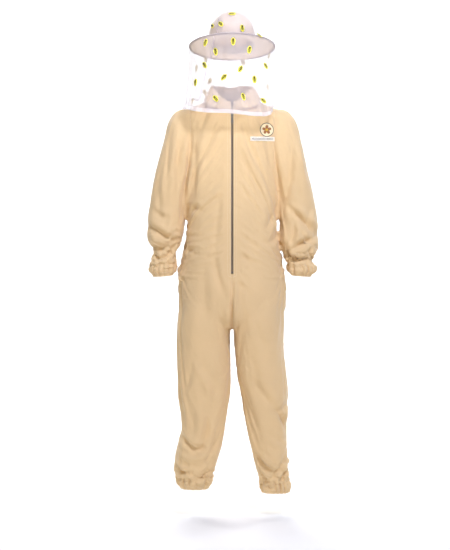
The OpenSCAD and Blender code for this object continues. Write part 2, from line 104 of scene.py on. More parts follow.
def make_studio():
    scene = bpy.context.scene
    scene.world = bpy.data.worlds.new("studio")
    scene.world.use_nodes = True
    background = scene.world.node_tree.nodes["Background"]
    background.inputs["Color"].default_value = (1, 1, 1, 1)
    background.inputs["Strength"].default_value = 0.07
    scene.view_settings.view_transform = "Standard"
    area_light("key", (0.8, -2.2, 2.15), (0, 0, -0.05), (0.6, 0.6), 84, (0.95, 1.01, 1.27))
    area_light("under_brim", (0.1, -2.3, -0.7), (0, 0, 0.26), (0.5, 0.5), 0.7, spread=30)
    area_light("fill", (-2.8, -2.2, 1.1), (0, 0, -0.2), (1.2, 1.8), 18, (1, 0.95, 0.88))
    area_light("warm_fill", (0.6, -2.6, -1.2), (0, 0, -1.2), (1.4, 0.8), 7, (1, 0.66, 0.33))
    area_light("back_key", (-0.9, 3.0, 1.9), (0, 0, -0.4), (2.0, 1.6), 38)
    for x in (-2.4, 2.4):
        area_light("backdrop_light", (x, 1.6, 2.8), (x * 0.4, 6.0, -0.2), (2.0, 2.0), 210)
    area_light("floor_light", (0, 1.9, 2.6), (0, 0.5, -1.5), (1.6, 1.6), 34)
    lowest = cad_box[0].z - FLOOR_DROP
    points, reach = [], 5.0
    sweep = [(reach + 1.2 * math.sin(t), 1.2 - 1.2 * math.cos(t)) for t in np.linspace(0, math.pi / 2, 13)]
    sweep += [(reach + 1.2, 7)]
    profile = [(-y, z) for y, z in reversed(sweep)] + sweep
    for y, z in profile:
        points += [(-9, y, lowest + z), (9, y, lowest + z)]
    faces = [(2 * k, 2 * k + 1, 2 * k + 3, 2 * k + 2) for k in range(len(profile) - 1)]
    floor = mesh_object("floor", points, faces, painted("floor_paint", (0.93, 0.93, 0.92), 0.9))


# ---- mesh helpers ---------------------------------------------------------------------------

def mesh_object(name, points, faces, material=None, smooth=True):
    mesh = bpy.data.meshes.new(name)
    mesh.from_pydata([tuple(map(float, p)) for p in points], [], [tuple(map(int, f)) for f in faces])
    mesh.polygons.foreach_set("use_smooth", np.full(len(mesh.polygons), smooth))
    obj = bpy.data.objects.new(name, mesh)
    bpy.context.scene.collection.objects.link(obj)
    if material:
        mesh.materials.append(material)
    return obj


def grid(rows, columns, wrap=False, first=0):
    """Faces over rows of points, each row closed into a ring if wrap."""
    last = columns if wrap else columns - 1
    return [
        (first + r * columns + c, first + r * columns + (c + 1) % columns,
         first + (r + 1) * columns + (c + 1) % columns, first + (r + 1) * columns + c)
        for r in range(rows - 1) for c in range(last)
    ]


def join(parts):
    """One list of points and one of faces from several."""
    points, faces = [], []
    for p, f in parts:
        faces += [tuple(i + len(points) for i in face) for face in f]
        points += [tuple(q) for q in p]
    return points, faces


def smoothstep(x, low, high):
    t = np.clip((np.asarray(x, float) - low) / (high - low), 0, 1)
    return t * t * (3 - 2 * t)


def unit(v):
    v = np.asarray(v, float)
    return v / np.maximum(np.linalg.norm(v, axis=-1, keepdims=True), 1e-12)


def coords(mesh):
    co = np.empty(len(mesh.vertices) * 3)
    mesh.vertices.foreach_get("co", co)
    return co.reshape(-1, 3)


def normals_of(mesh):
    out = np.empty(len(mesh.vertices) * 3)
    mesh.vertex_normals.foreach_get("vector", out)
    return out.reshape(-1, 3)


def edges_of(mesh):
    out = np.empty(len(mesh.edges) * 2, np.int64)
    mesh.edges.foreach_get("vertices", out)
    return out.reshape(-1, 2)


def relax(points, edges, rounds, share=None):
    """Smooths points over their neighbours without shrinking. share limits it, from 0 to 1, per point."""
    count = np.bincount(edges.ravel(), minlength=len(points))[:, None]
    share = 1 if share is None else np.asarray(share)[:, None]
    for step in (0.5, -0.51) * rounds:
        total = np.zeros_like(points)
        for k in range(3):
            total[:, k] = np.bincount(edges[:, 0], points[edges[:, 1], k], len(points))
            total[:, k] += np.bincount(edges[:, 1], points[edges[:, 0], k], len(points))
        points = points + step * share * (total / count - points)
    return points


def turbulence(points, scale, seed=0.0, octaves=3):
    """Smooth noise from about -1 to 1 at each point, with its own scale along each axis."""
    scale = np.asarray(scale, float)
    return np.array([
        noise.fractal(Vector(p * scale + seed), 0.6, 2.0, octaves, noise_basis="PERLIN_ORIGINAL")
        for p in points
    ])


# ---- materials ------------------------------------------------------------------------------

def new_material(name):
    material = bpy.data.materials.new(name)
    material.use_nodes = True
    tree = material.node_tree
    return material, tree, tree.nodes["Principled BSDF"]


def node(tree, kind, **values):
    made = tree.nodes.new(kind)
    for key, value in values.items():
        if key in made.inputs:
            made.inputs[key].default_value = value
        else:
            setattr(made, key, value)
    return made


def painted(name, colour, roughness):
    material, tree, shader = new_material(name)
    shader.inputs["Base Color"].default_value = (*colour, 1)
    shader.inputs["Roughness"].default_value = roughness
    return material


def mixed_colour(tree, factor, low, high):
    mix = node(tree, "ShaderNodeMix", data_type="RGBA")
    mix.inputs["A"].default_value = (*low, 1)
    mix.inputs["B"].default_value = (*high, 1)
    tree.links.new(factor, mix.inputs["Factor"])
    return mix.outputs["Result"]


def shade(colour, by):
    return tuple(min(1, c * by) for c in colour)


def thread_wave(tree, place, direction, pitch, distortion=0.4):
    """Bands across one direction, a thread apart."""
    wave = node(tree, "ShaderNodeTexWave", bands_direction=direction, wave_profile="SIN")
    wave.inputs["Scale"].default_value = 2 * math.pi / (20 * pitch)
    wave.inputs["Distortion"].default_value = distortion
    wave.inputs["Detail"].default_value = 1
    tree.links.new(place, wave.inputs["Vector"])
    return wave.outputs["Fac"]


def cloth(name, colour, pitch=0.0011, depth=0.00025, roughness=0.85, sheen=0.25, blotch=0.05, weave="twill"):
    """A woven cloth: twill ribs or a plain weave in the bump, with slow changes of shade and fine slubs."""
    material, tree, shader = new_material(name)
    place = node(tree, "ShaderNodeTexCoord").outputs["Object"]
    slow = node(tree, "ShaderNodeTexNoise", Scale=7.0, Detail=4.0, Roughness=0.6)
    fine = node(tree, "ShaderNodeTexNoise", Scale=420.0, Detail=2.0)
    for texture in (slow, fine):
        tree.links.new(place, texture.inputs["Vector"])
    blend = node(tree, "ShaderNodeMath", operation="MULTIPLY_ADD")
    blend.inputs[1].default_value = 0.35
    tree.links.new(fine.outputs["Fac"], blend.inputs[0])
    tree.links.new(slow.outputs["Fac"], blend.inputs[2])
    tree.links.new(
        mixed_colour(tree, blend.outputs["Value"], shade(colour, 1 - 1.6 * blotch), shade(colour, 1 + blotch)),
        shader.inputs["Base Color"],
    )
    if weave == "twill":
        height = thread_wave(tree, place, "DIAGONAL", pitch)
    else:
        across = thread_wave(tree, place, "Z", pitch)
        along = thread_wave(tree, place, "X", pitch)
        both = node(tree, "ShaderNodeMath", operation="MULTIPLY")
        tree.links.new(across, both.inputs[0])
        tree.links.new(along, both.inputs[1])
        height = both.outputs["Value"]
    bump = node(tree, "ShaderNodeBump", Strength=0.5, Distance=depth)
    tree.links.new(height, bump.inputs["Height"])
    grain = node(tree, "ShaderNodeBump", Strength=0.35, Distance=0.0006)
    creases = node(tree, "ShaderNodeTexNoise", Scale=90.0, Detail=3.0)
    tree.links.new(place, creases.inputs["Vector"])
    tree.links.new(creases.outputs["Fac"], grain.inputs["Height"])
    tree.links.new(bump.outputs["Normal"], grain.inputs["Normal"])
    soft = node(tree, "ShaderNodeTexNoise", Scale=11.0, Detail=3.0, Roughness=0.55, Distortion=0.8)
    tree.links.new(place, soft.inputs["Vector"])
    crumple = node(tree, "ShaderNodeBump", Strength=0.55, Distance=0.011)
    tree.links.new(soft.outputs["Fac"], crumple.inputs["Height"])
    tree.links.new(grain.outputs["Normal"], crumple.inputs["Normal"])
    tree.links.new(crumple.outputs["Normal"], shader.inputs["Normal"])
    shader.inputs["Roughness"].default_value = roughness
    shader.inputs["Sheen Weight"].default_value = sheen
    shader.inputs["Sheen Roughness"].default_value = 0.5
    shader.inputs["Specular IOR Level"].default_value = 0.25
    return material


def net(name, colour, alpha):
    """Sheer tulle: a fine mesh of threads over mostly clear gaps."""
    material, tree, shader = new_material(name)
    place = node(tree, "ShaderNodeTexCoord").outputs["Object"]
    slow = node(tree, "ShaderNodeTexNoise", Scale=14.0, Detail=2.0)
    tree.links.new(place, slow.inputs["Vector"])
    tree.links.new(
        mixed_colour(tree, slow.outputs["Fac"], shade(colour, 0.93), colour), shader.inputs["Base Color"]
    )
    across = thread_wave(tree, place, "Z", 0.0018, 0.1)
    bump = node(tree, "ShaderNodeBump", Strength=0.4, Distance=0.0002)
    tree.links.new(across, bump.inputs["Height"])
    tree.links.new(bump.outputs["Normal"], shader.inputs["Normal"])
    shader.inputs["Alpha"].default_value = alpha
    shader.inputs["Roughness"].default_value = 0.7
    shader.inputs["Specular IOR Level"].default_value = 0.15
    shader.inputs["Sheen Weight"].default_value = 0.2
    return material


def metal(name, colour, roughness):
    """Worn plated metal with a fine brushed grain."""
    material, tree, shader = new_material(name)
    place = node(tree, "ShaderNodeTexCoord").outputs["Object"]
    wear = node(tree, "ShaderNodeTexNoise", Scale=320.0, Detail=4.0)
    tree.links.new(place, wear.inputs["Vector"])
    tree.links.new(mixed_colour(tree, wear.outputs["Fac"], shade(colour, 0.75), colour), shader.inputs["Base Color"])
    bump = node(tree, "ShaderNodeBump", Strength=0.3, Distance=0.00008)
    tree.links.new(wear.outputs["Fac"], bump.inputs["Height"])
    tree.links.new(bump.outputs["Normal"], shader.inputs["Normal"])
    shader.inputs["Metallic"].default_value = 1
    shader.inputs["Roughness"].default_value = roughness
    return material


def ribbed(name, colour, pitch, direction):
    """Cloth with raised cords, as on elastic or tape."""
    material, tree, shader = new_material(name)
    place = node(tree, "ShaderNodeTexCoord").outputs["Object"]
    ribs = thread_wave(tree, place, direction, pitch, 0.2)
    tree.links.new(mixed_colour(tree, ribs, shade(colour, 0.8), colour), shader.inputs["Base Color"])
    bump = node(tree, "ShaderNodeBump", Strength=0.6, Distance=0.0004)
    tree.links.new(ribs, bump.inputs["Height"])
    tree.links.new(bump.outputs["Normal"], shader.inputs["Normal"])
    shader.inputs["Roughness"].default_value = 0.8
    shader.inputs["Sheen Weight"].default_value = 0.2
    return material


SUIT = (0.76, 0.55, 0.298)
MATERIALS = {
    "suit_cloth": cloth("suit_twill", SUIT),
    "collar_cloth": cloth("collar_twill", shade(SUIT, 0.98)),
    "lining": cloth("pocket_lining", (0.74, 0.6, 0.4), weave="plain"),
    "thread": cloth("thread", (0.86, 0.72, 0.5), pitch=0.0006, depth=0.0001, sheen=0.4, roughness=0.6),
    "zip_tape": ribbed("zip_tape_weave", (0.36, 0.27, 0.19), 0.0014, "Z"),
    "zip_metal": metal("antique_nickel", (0.36, 0.34, 0.32), 0.38),
    "elastic": ribbed("elastic_ribs", (0.85, 0.84, 0.8), 0.0016, "Z"),
    "hat_cloth": cloth("hat_cotton", (0.83, 0.66, 0.46), weave="plain"),
    "binding": cloth("brim_binding_cloth", (0.20, 0.10, 0.035), pitch=0.0009),
    "wire": metal("spring_wire", (0.5, 0.5, 0.5), 0.3),
    "sweatband": ribbed("sweatband_cotton", (0.78, 0.66, 0.5), 0.002, "Z"),
    "veil": net("veil_tulle", (0.84, 0.795, 0.85), 0.35),
    "veil_hem": net("veil_hem_tulle", (0.95, 0.905, 0.94), 0.44),
    "bee_yellow": cloth("bee_felt_yellow", (0.95, 0.86, 0.09), pitch=0.0008, weave="plain", blotch=0.03),
    "bee_dark": cloth("bee_felt_dark", (0.035, 0.02, 0.012), pitch=0.0008, weave="plain"),
    "patch_ground": cloth("patch_felt", (0.90, 0.77, 0.50), pitch=0.0008, weave="plain"),
    "patch_edge": ribbed("patch_edge_thread", (0.10, 0.055, 0.03), 0.0009, "DIAGONAL"),
    "petal": ribbed("petal_thread", (0.42, 0.17, 0.05), 0.0008, "X"),
    "flower_eye": ribbed("flower_eye_thread", (0.85, 0.55, 0.06), 0.0008, "X"),
    "label_ground": cloth("label_satin", (0.93, 0.88, 0.76), pitch=0.0006, roughness=0.5, weave="plain"),
    "label_thread": ribbed("label_thread_dark", (0.12, 0.08, 0.06), 0.0007, "DIAGONAL"),
}

# ---- the coverall's shape -------------------------------------------------------------------

ROUNDNESS = 2.4                # exponent of its soft cross-sections, 2 is an ellipse
ZIP_TOP = np.array([0, -88, 12]) * MM
ZIP_LEAN = math.radians(4.4)
ZIP_LENGTH = 0.595
ZIP_END = ZIP_TOP[2] - ZIP_LENGTH * math.cos(ZIP_LEAN)
NECK_SLOPE = 0.26
CROTCH = -0.845


def zip_y(z):
    return ZIP_TOP[1] - (ZIP_TOP[2] - z) * math.tan(ZIP_LEAN)


def front_at(z):
    return round(zip_y(z * MM) / MM, 2)


# Cross-sections in millimetres, from the top down: height, centre x, half width, centre y, half depth.
TRUNK = [
    (z, 0, half, (front + back) / 2, (back - front) / 2)
    for z, half, front, back in (
        (68, 22, -4, 46), (65, 46, -12, 60), (61, 66, -22, 69), (55, 80, -34, 75), (49, 94, -46, 79),
        (40, 118, -60, 82), (29, 148, -74, 86), (18, 176, front_at(18), 90), (6, 194, front_at(6), 94),
        (-22, 202, front_at(-22), 102), (-80, 201, front_at(-80), 112), (-160, 190, front_at(-160), 121),
        (-250, 174, front_at(-250), 119), (-330, 167, front_at(-330), 112), (-418, 163, front_at(-418), 108),
        (-480, 171, front_at(-480), 115), (-565, 186, front_at(-565), 127), (-650, 194, front_at(-650), 131),
        (-690, 194, -137, 128), (-718, 189, -133, 122), (-744, 170, -122, 110), (-764, 120, -100, 88), (-780, 50, -60, 50),
    )
]
SLEEVE_TOP = [
    (24, 172, 12, 8, 14), (20, 174, 24, 8, 25), (12, 178, 33, 8, 37), (-4, 182, 42, 8, 50), (-26, 186, 51, 8, 63),
    (-52, 190, 54, 8, 71), (-94, 197, 57, 8, 78),
    (-153, 210, 59, 8, 82), (-212, 224, 59, 8, 81), (-250, 231, 61, 8, 79), (-330, 241, 67, 8, 73),
    (-390, 246, 69, 4, 73),
]
SLEEVES = {
    1: SLEEVE_TOP + [
        (-430, 246, 69, -2, 71), (-470, 247, 68, -8, 67), (-500, 248, 62, -13, 60), (-520, 249, 54, -17, 53),
        (-537, 252, 46, -21, 46), (-552, 256, 49, -25, 48), (-567, 258, 49, -28, 48), (-580, 256, 41, -30, 41),
        (-594, 255, 33.5, -33, 33.5), (-625, 257, 36, -38, 36),
    ],
    -1: SLEEVE_TOP + [
        (-430, 248, 68, -2, 71), (-462, 250, 61, -8, 64), (-484, 250, 47, -12, 52), (-498, 251, 40, -14, 46),
        (-520, 254, 44, -18, 47), (-545, 257, 48, -23, 48), (-562, 257, 46, -27, 46), (-578, 256, 38, -30, 38),
        (-594, 255, 33.5, -33, 33.5), (-625, 257, 36, -38, 36),
    ],
}
LEG_LEFT = [
    (-640, 95, 76, -5, 110), (-740, 96, 92, -4, 124), (-800, 97, 90, -5.5, 119), (-830, 97, 89, -6.5, 114),
    (-880, 100, 88, -6, 109), (-950, 109, 88, -5, 103),
    (-1036, 123, 81, -2, 94), (-1100, 127, 77, 0, 89), (-1154, 131, 73, 2, 85), (-1213, 138, 69, 4, 81),
    (-1301, 150, 61, 4, 73), (-1345, 156, 56, 5, 65), (-1375, 161, 53, 6, 57), (-1408, 164, 52, 6, 52),
    (-1440, 166, 53, 6, 53),
]
LEG_RIGHT = [
    (-640, 95, 76, -5, 110), (-740, 100, 96, -4, 124), (-800, 103, 96, -5.5, 119), (-830, 104, 96, -6.5, 114),
    (-880, 104, 97, -6, 109), (-950, 103, 97, -5, 103), (-1036, 106, 94, -2, 95), (-1100, 105, 84, 0, 89),
    (-1154, 108, 78, 2, 85), (-1213, 119, 79, 4, 83), (-1270, 132, 80, 4, 81), (-1310, 139, 76, 4, 77),
    (-1345, 140, 68, 4, 71), (-1370, 140, 60, 4, 61), (-1393, 140, 52, 4, 52), (-1425, 141, 53, 4, 53),
]
LEGS = {1: LEG_LEFT, -1: LEG_RIGHT}
WRIST_Z = -0.594
HEM_Z = {1: -1.408, -1: -1.393}
CUFF_TOP = -0.535
KNEE_CUT = -0.980              # where the leg is cut across, hidden in the model's folds
ELBOW_CUT = -0.366
ZIP_SLOT = 0.0046              # half the gap between the two front edges


def fine_stations(stations, step=8.0):
    """Stations joined by smooth curves, about step millimetres apart."""
    s = np.array(stations, float)
    slope = np.gradient(s[:, 1:], s[:, 0], axis=0)
    out = []
    for k in range(len(s) - 1):
        rise = s[k + 1, 0] - s[k, 0]
        count = max(1, int(np.ceil(np.abs(s[k + 1] - s[k]).max() / step)))
        for u in np.arange(count) / count:
            a, b = s[k, 1:], s[k + 1, 1:]
            h = (2 * u**3 - 3 * u**2 + 1, u**3 - 2 * u**2 + u, -2 * u**3 + 3 * u**2, u**3 - u**2)
            values = h[0] * a + h[1] * rise * slope[k] + h[2] * b + h[3] * rise * slope[k + 1]
            out.append([s[k, 0] + u * rise, *values])
    return np.array(out + [s[-1]])


def oval(turns, half_width, half_depth, power=ROUNDNESS):
    c, s = np.cos(turns), np.sin(turns)
    return (
        half_width * np.sign(c) * np.abs(c) ** (2 / power),
        half_depth * np.sign(s) * np.abs(s) ** (2 / power),
    )


def even_turns(count):
    """Turns at which points lie about evenly round a soft cross-section."""
    dense = np.linspace(0, 2 * math.pi, 2001)
    x, y = oval(dense, 1, 1)
    run = np.concatenate([[0], np.cumsum(np.hypot(np.diff(x), np.diff(y)))])
    return np.interp(np.linspace(0, run[-1], count, endpoint=False), run, dense)


def closed_loft(stations, side=1, around=84):
    turns = even_turns(around)
    rings = []
    for z, cx, rx, cy, ry in fine_stations(stations):
        x, y = oval(turns, rx, ry)
        rings.append(np.column_stack([side * (cx + x), cy + y, np.full(around, z)]) * MM)
    if side < 0:
        rings = [r[::-1] for r in rings]
    faces = [tuple(reversed(f)) for f in grid(len(rings), around, wrap=True)]
    faces += [tuple(range(around)), tuple(reversed(range((len(rings) - 1) * around, len(rings) * around)))]
    return np.concatenate(rings), faces


def fused_skin(voxel):
    """Trunk, sleeves and legs as one smooth closed skin."""
    parts = [closed_loft(TRUNK)]
    for side, _ in SIDES:
        parts += [closed_loft(SLEEVES[side], side), closed_loft(LEGS[side], side)]
    rough = mesh_object("rough_skin", *join(parts))
    remesh = rough.modifiers.new("fuse", "REMESH")
    remesh.mode = "VOXEL"
    remesh.voxel_size = voxel
    mesh = bpy.data.meshes.new_from_object(rough.evaluated_get(bpy.context.evaluated_depsgraph_get()))
    bpy.data.objects.remove(rough)
    edges = edges_of(mesh)
    points = relax(coords(mesh), edges, 6)
    hips = smoothstep(points[:, 2], -0.90, -0.82) * smoothstep(-points[:, 2], 0.66, 0.72)
    points = relax(points, edges, 30, hips * (1 - smoothstep(-points[:, 2], 0.755, 0.785) * (np.abs(points[:, 0]) < 0.03)))
    mesh.vertices.foreach_set("co", points.ravel())
    mesh.update()
    return mesh


# ---- folds ----------------------------------------------------------------------------------

# Creases in the cloth, each a line of (x, z) in millimetres with its half width and depth. The cloth
# sinks along the line and rises beside it, on the line's left as it is drawn.
FRONT_FOLDS = [
    # right sleeve
    ([(-306, -408), (-262, -436), (-214, -462)], 15, 9), ([(-300, -470), (-262, -490), (-226, -478)], 13, 6),
    ([(-226, -96), (-236, -190), (-240, -290)], 18, 5), ([(-262, -200), (-268, -290), (-262, -370)], 18, 4),
    ([(-184, -90), (-196, -170), (-200, -250)], 15, 6), ([(-288, -350), (-262, -372), (-238, -380)], 14, 4),
    ([(-222, -498), (-240, -520), (-262, -524)], 10, 6), ([(-284, -508), (-272, -528), (-256, -534)], 10, 5),
    # left sleeve
    ([(218, -352), (259, -390), (304, -436)], 16, 9), ([(304, -452), (256, -474), (210, -500)], 15, 9),
    ([(196, -494), (216, -524), (270, -530)], 11, 10), ([(240, -84), (252, -190), (274, -270)], 18, -5),
    ([(216, -120), (212, -220), (194, -312)], 16, 6), ([(288, -350), (276, -380), (280, -410)], 13, 4),
    ([(226, -420), (222, -450), (206, -470)], 12, 5), ([(292, -478), (284, -505), (290, -520)], 10, 5),
    # chest and waist
    ([(-134, -110), (-138, -210), (-146, -322)], 20, 5), ([(-162, -352), (-140, -344), (-112, -352)], 16, 4),
    ([(-39, -262), (-52, -380), (-60, -486)], 18, 2.4), ([(-64, -516), (-52, -590), (-30, -652)], 18, 5),
    ([(-128, -50), (-146, -92), (-146, -140)], 14, 3), ([(162, -352), (140, -392), (120, -432)], 16, 4),
    ([(134, -120), (142, -200), (150, -290)], 20, 3.5), ([(36, -164), (24, -178), (10, -190)], 10, 2),
    ([(8, -506), (40, -520), (72, -548)], 16, 3), ([(14, -612), (34, -622), (52, -646)], 13, 3),
    ([(-176, -470), (-150, -500), (-120, -508)], 18, 3), ([(170, -440), (150, -462), (112, -470)], 18, 3),
    ([(90, -280), (84, -400), (78, -520)], 26, 2), ([(-96, -560), (-100, -660), (-96, -760)], 26, 3),
    ([(-34, -664), (-44, -740), (-52, -800)], 22, 1.5), ([(34, -690), (44, -750), (48, -806)], 22, 1.5),
    ([(0, -600), (0, -690), (1, -800)], 10, 3.5), ([(0, -680), (1, -740), (1, -800)], 8, 6),
    ([(-152, -60), (-156, -160), (-173, -280)], 9, 4.5), ([(173, -280), (156, -160), (152, -60)], 9, 4.5),
    # right leg
    ([(-145, -900), (-160, -977), (-172, -1010)], 18, 4), ([(-138, -915), (-94, -988), (-82, -1034)], 20, -4),
    ([(-92, -1105), (-98, -1186), (-124, -1240)], 18, 7), ([(-190, -1176), (-150, -1222), (-96, -1226)], 15, 8),
    ([(-206, -1302), (-188, -1320), (-172, -1322)], 10, 7), ([(-78, -1322), (-100, -1330), (-118, -1348)], 10, 7),
    ([(-150, -1060), (-140, -1130), (-150, -1168)], 20, 4), ([(-60, -1160), (-70, -1220), (-92, -1262)], 15, 5),
    ([(-190, -1256), (-150, -1268), (-110, -1262)], 14, -5), ([(-60, -1000), (-70, -1060), (-66, -1110)], 20, 3),
    # left leg
    ([(74, -977), (126, -1040), (172, -1100)], 22, 4), ([(170, -1096), (196, -1140), (204, -1184)], 12, 8),
    ([(206, -1206), (176, -1200), (140, -1180)], 15, 3.5), ([(84, -1250), (112, -1290), (150, -1312)], 16, 8),
    ([(204, -1250), (188, -1290), (160, -1330)], 15, 5), ([(106, -1318), (118, -1338), (130, -1352)], 10, 5),
    ([(204, -1322), (192, -1336), (184, -1354)], 10, 6),
    ([(70, -880), (84, -950), (96, -1010)], 24, 3), ([(60, -1060), (84, -1140), (100, -1210)], 20, 3),
    ([(206, -1060), (190, -1080), (160, -1090)], 14, 4),
]
BACK_FOLDS = [
    ([(-120, -60), (0, -84), (120, -60)], 30, 2.5), ([(-150, -240), (-70, -300), (0, -316)], 24, 4),
    ([(150, -240), (80, -306), (6, -330)], 24, 4), ([(-150, -380), (-60, -420), (40, -410)], 20, 5),
    ([(150, -400), (70, -444), (-30, -450)], 20, 5), ([(-140, -470), (-60, -500), (30, -490)], 20, 4),
    ([(-20, -700), (-60, -760), (-120, -790)], 20, 5), ([(20, -700), (64, -770), (124, -800)], 20, 5),
    ([(-40, -868), (-90, -852), (-150, -868)], 18, 6), ([(36, -868), (92, -858), (156, -880)], 18, 6),
    ([(-60, -1010), (-110, -1030), (-170, -1016)], 18, 7), ([(60, -1020), (120, -1040), (190, -1022)], 18, 7),
    ([(-56, -1064), (-104, -1080), (-160, -1068)], 18, 6), ([(66, -1076), (126, -1090), (192, -1078)], 18, 6),
    ([(-70, -1120), (-100, -1200), (-120, -1270)], 20, 5), ([(84, -1130), (120, -1210), (140, -1290)], 20, 5),
    ([(-190, -1300), (-150, -1330), (-100, -1324)], 14, 6), ([(100, -1310), (150, -1346), (200, -1330)], 14, 6),
    ([(-290, -360), (-256, -384), (-216, -380)], 15, 6), ([(290, -356), (256, -384), (214, -376)], 15, 6),
    ([(-300, -420), (-262, -448), (-220, -440)], 15, 7), ([(300, -420), (262, -448), (220, -440)], 15, 7),
    ([(-290, -480), (-262, -504), (-226, -500)], 12, 6), ([(290, -480), (262, -504), (226, -500)], 12, 6),
    ([(-150, -100), (-160, -200), (-150, -270)], 18, 5), ([(150, -100), (160, -200), (150, -270)], 18, 5),
    ([(-220, -110), (-236, -200), (-240, -290)], 18, 4), ([(220, -110), (236, -200), (240, -290)], 18, 4),
]


def fold_depths(points, normals, folds, facing):
    """How far each point moves out for a list of folds on one face of the suit."""
    flat = points[:, [0, 2]]
    front = smoothstep(facing * normals[:, 1], -0.15, 0.45)
    out = np.zeros(len(points))
    for line, half_width, depth in folds:
        line = np.array(line) * MM
        width, depth = half_width * MM, depth * MM
        low, high = line.min(0) - 4 * width, line.max(0) + 4 * width
        near = np.where(((flat > low) & (flat < high)).all(1) & (front > 0))[0]
        if not len(near):
            continue
        u = np.linspace(0, 1, 25)[:, None]
        curve = (1 - u) ** 2 * line[0] + 2 * u * (1 - u) * (2 * line[1] - (line[0] + line[2]) / 2) + u**2 * line[2]
        apart = flat[near][:, None] - curve[None]
        nearest = (apart**2).sum(2).argmin(1)
        along = unit(np.gradient(curve, axis=0))[nearest]
        offset = apart[np.arange(len(near)), nearest]
        across = along[:, 0] * offset[:, 1] - along[:, 1] * offset[:, 0]
        past_end = np.abs((along * offset).sum(1))
        v = across / width
        taper = np.sin(np.clip(nearest / 24 * 0.86 + 0.07, 0, 1) * math.pi) ** 0.7
        fade = np.exp(-((past_end / (1.6 * width)) ** 2))
        wave = -np.exp(-(np.abs(v / 0.62) ** 1.6)) + 0.62 * np.exp(-(((v - 1.25) / 0.85) ** 2))
        wave += 0.25 * np.exp(-(((v + 1.6) / 1.1) ** 2))
        out[near] += depth * wave * taper * fade
    return out * front


def ruffles(points, side, centre, band, count, depth, twist):
    """Radial gathers round a tube's end. band is (where they start, where they are deepest, the end), from the top down."""
    offset = points - centre
    turn = np.arctan2(offset[:, 1], offset[:, 0])
    wobble = 0.55 * np.sin(2 * turn + twist) + 0.4 * np.sin(3 * turn + 2 * twist)
    share = smoothstep(-points[:, 2], -band[0], -band[1]) * (1 - 0.6 * smoothstep(-points[:, 2], -band[1], -band[2]))
    phase = count * turn + wobble * 2.2 + 6 * share * np.sin(turn * 2 + twist) * 0.25
    ridge = (2 * np.abs(np.sin(phase / 2)) ** 0.8 - 1) * (0.75 + 0.25 * np.sin(5 * turn + twist))
    return depth * (ridge + 0.8) * share


# ---- cutting the skin into its pieces ---------------------------------------------------------

def refine(bm, inside):
    """Splits each face whose centre is inside into four."""
    edges = {e for f in bm.faces if inside(f.calc_center_median()) for e in f.edges}
    bmesh.ops.subdivide_edges(bm, edges=list(edges), cuts=1, use_grid_fill=True)


def slice_along(bm, level, where):
    """Cuts the faces along the line on which level is 0, in the places where where is true."""
    bm.verts.index_update()
    bm.verts.ensure_lookup_table()
    points = np.array([v.co for v in bm.verts])
    value = level(points)
    active = where(points)
    pairs = np.array([[v.index for v in e.verts] for e in bm.edges])
    on_line = set()

    def crossing():
        a, b = value[pairs[:, 0]], value[pairs[:, 1]]
        return np.where((a * b < 0) & active[pairs].all(1))[0]

    for e in crossing():
        i, j = pairs[e]
        share = value[i] / (value[i] - value[j])
        near = i if share < 0.18 else j if share > 0.82 else None
        if near is not None and value[i] * value[j] < 0:
            bm.verts[near].co = Vector(points[i] + share * (points[j] - points[i]))
            value[near] = 0
            on_line.add(bm.verts[near])
    bm.edges.ensure_lookup_table()
    for e, i, j, start in [(bm.edges[e], *pairs[e], bm.verts[pairs[e][0]]) for e in crossing()]:
        share = value[i] / (value[i] - value[j])
        on_line.add(bmesh.utils.edge_split(e, start, float(share))[1])
    sign = {v: np.sign(value[v.index]) if 0 <= v.index < len(value) and v not in on_line else 0 for v in bm.verts}
    for face in {f for v in on_line for f in v.link_faces}:
        ring = list(face.verts)
        zeros = [k for k, v in enumerate(ring) if v in on_line]
        for a in range(len(zeros)):
            for b in range(a + 1, len(zeros)):
                i, j = zeros[a], zeros[b]
                one = {sign[v] for v in ring[i + 1:j]}
                other = {sign[v] for v in ring[j + 1:] + ring[:i]}
                if one and other and {1, -1} == one | other and not one & other:
                    bmesh.utils.face_split(face, ring[i], ring[j])
                    break
            else:
                continue
            break


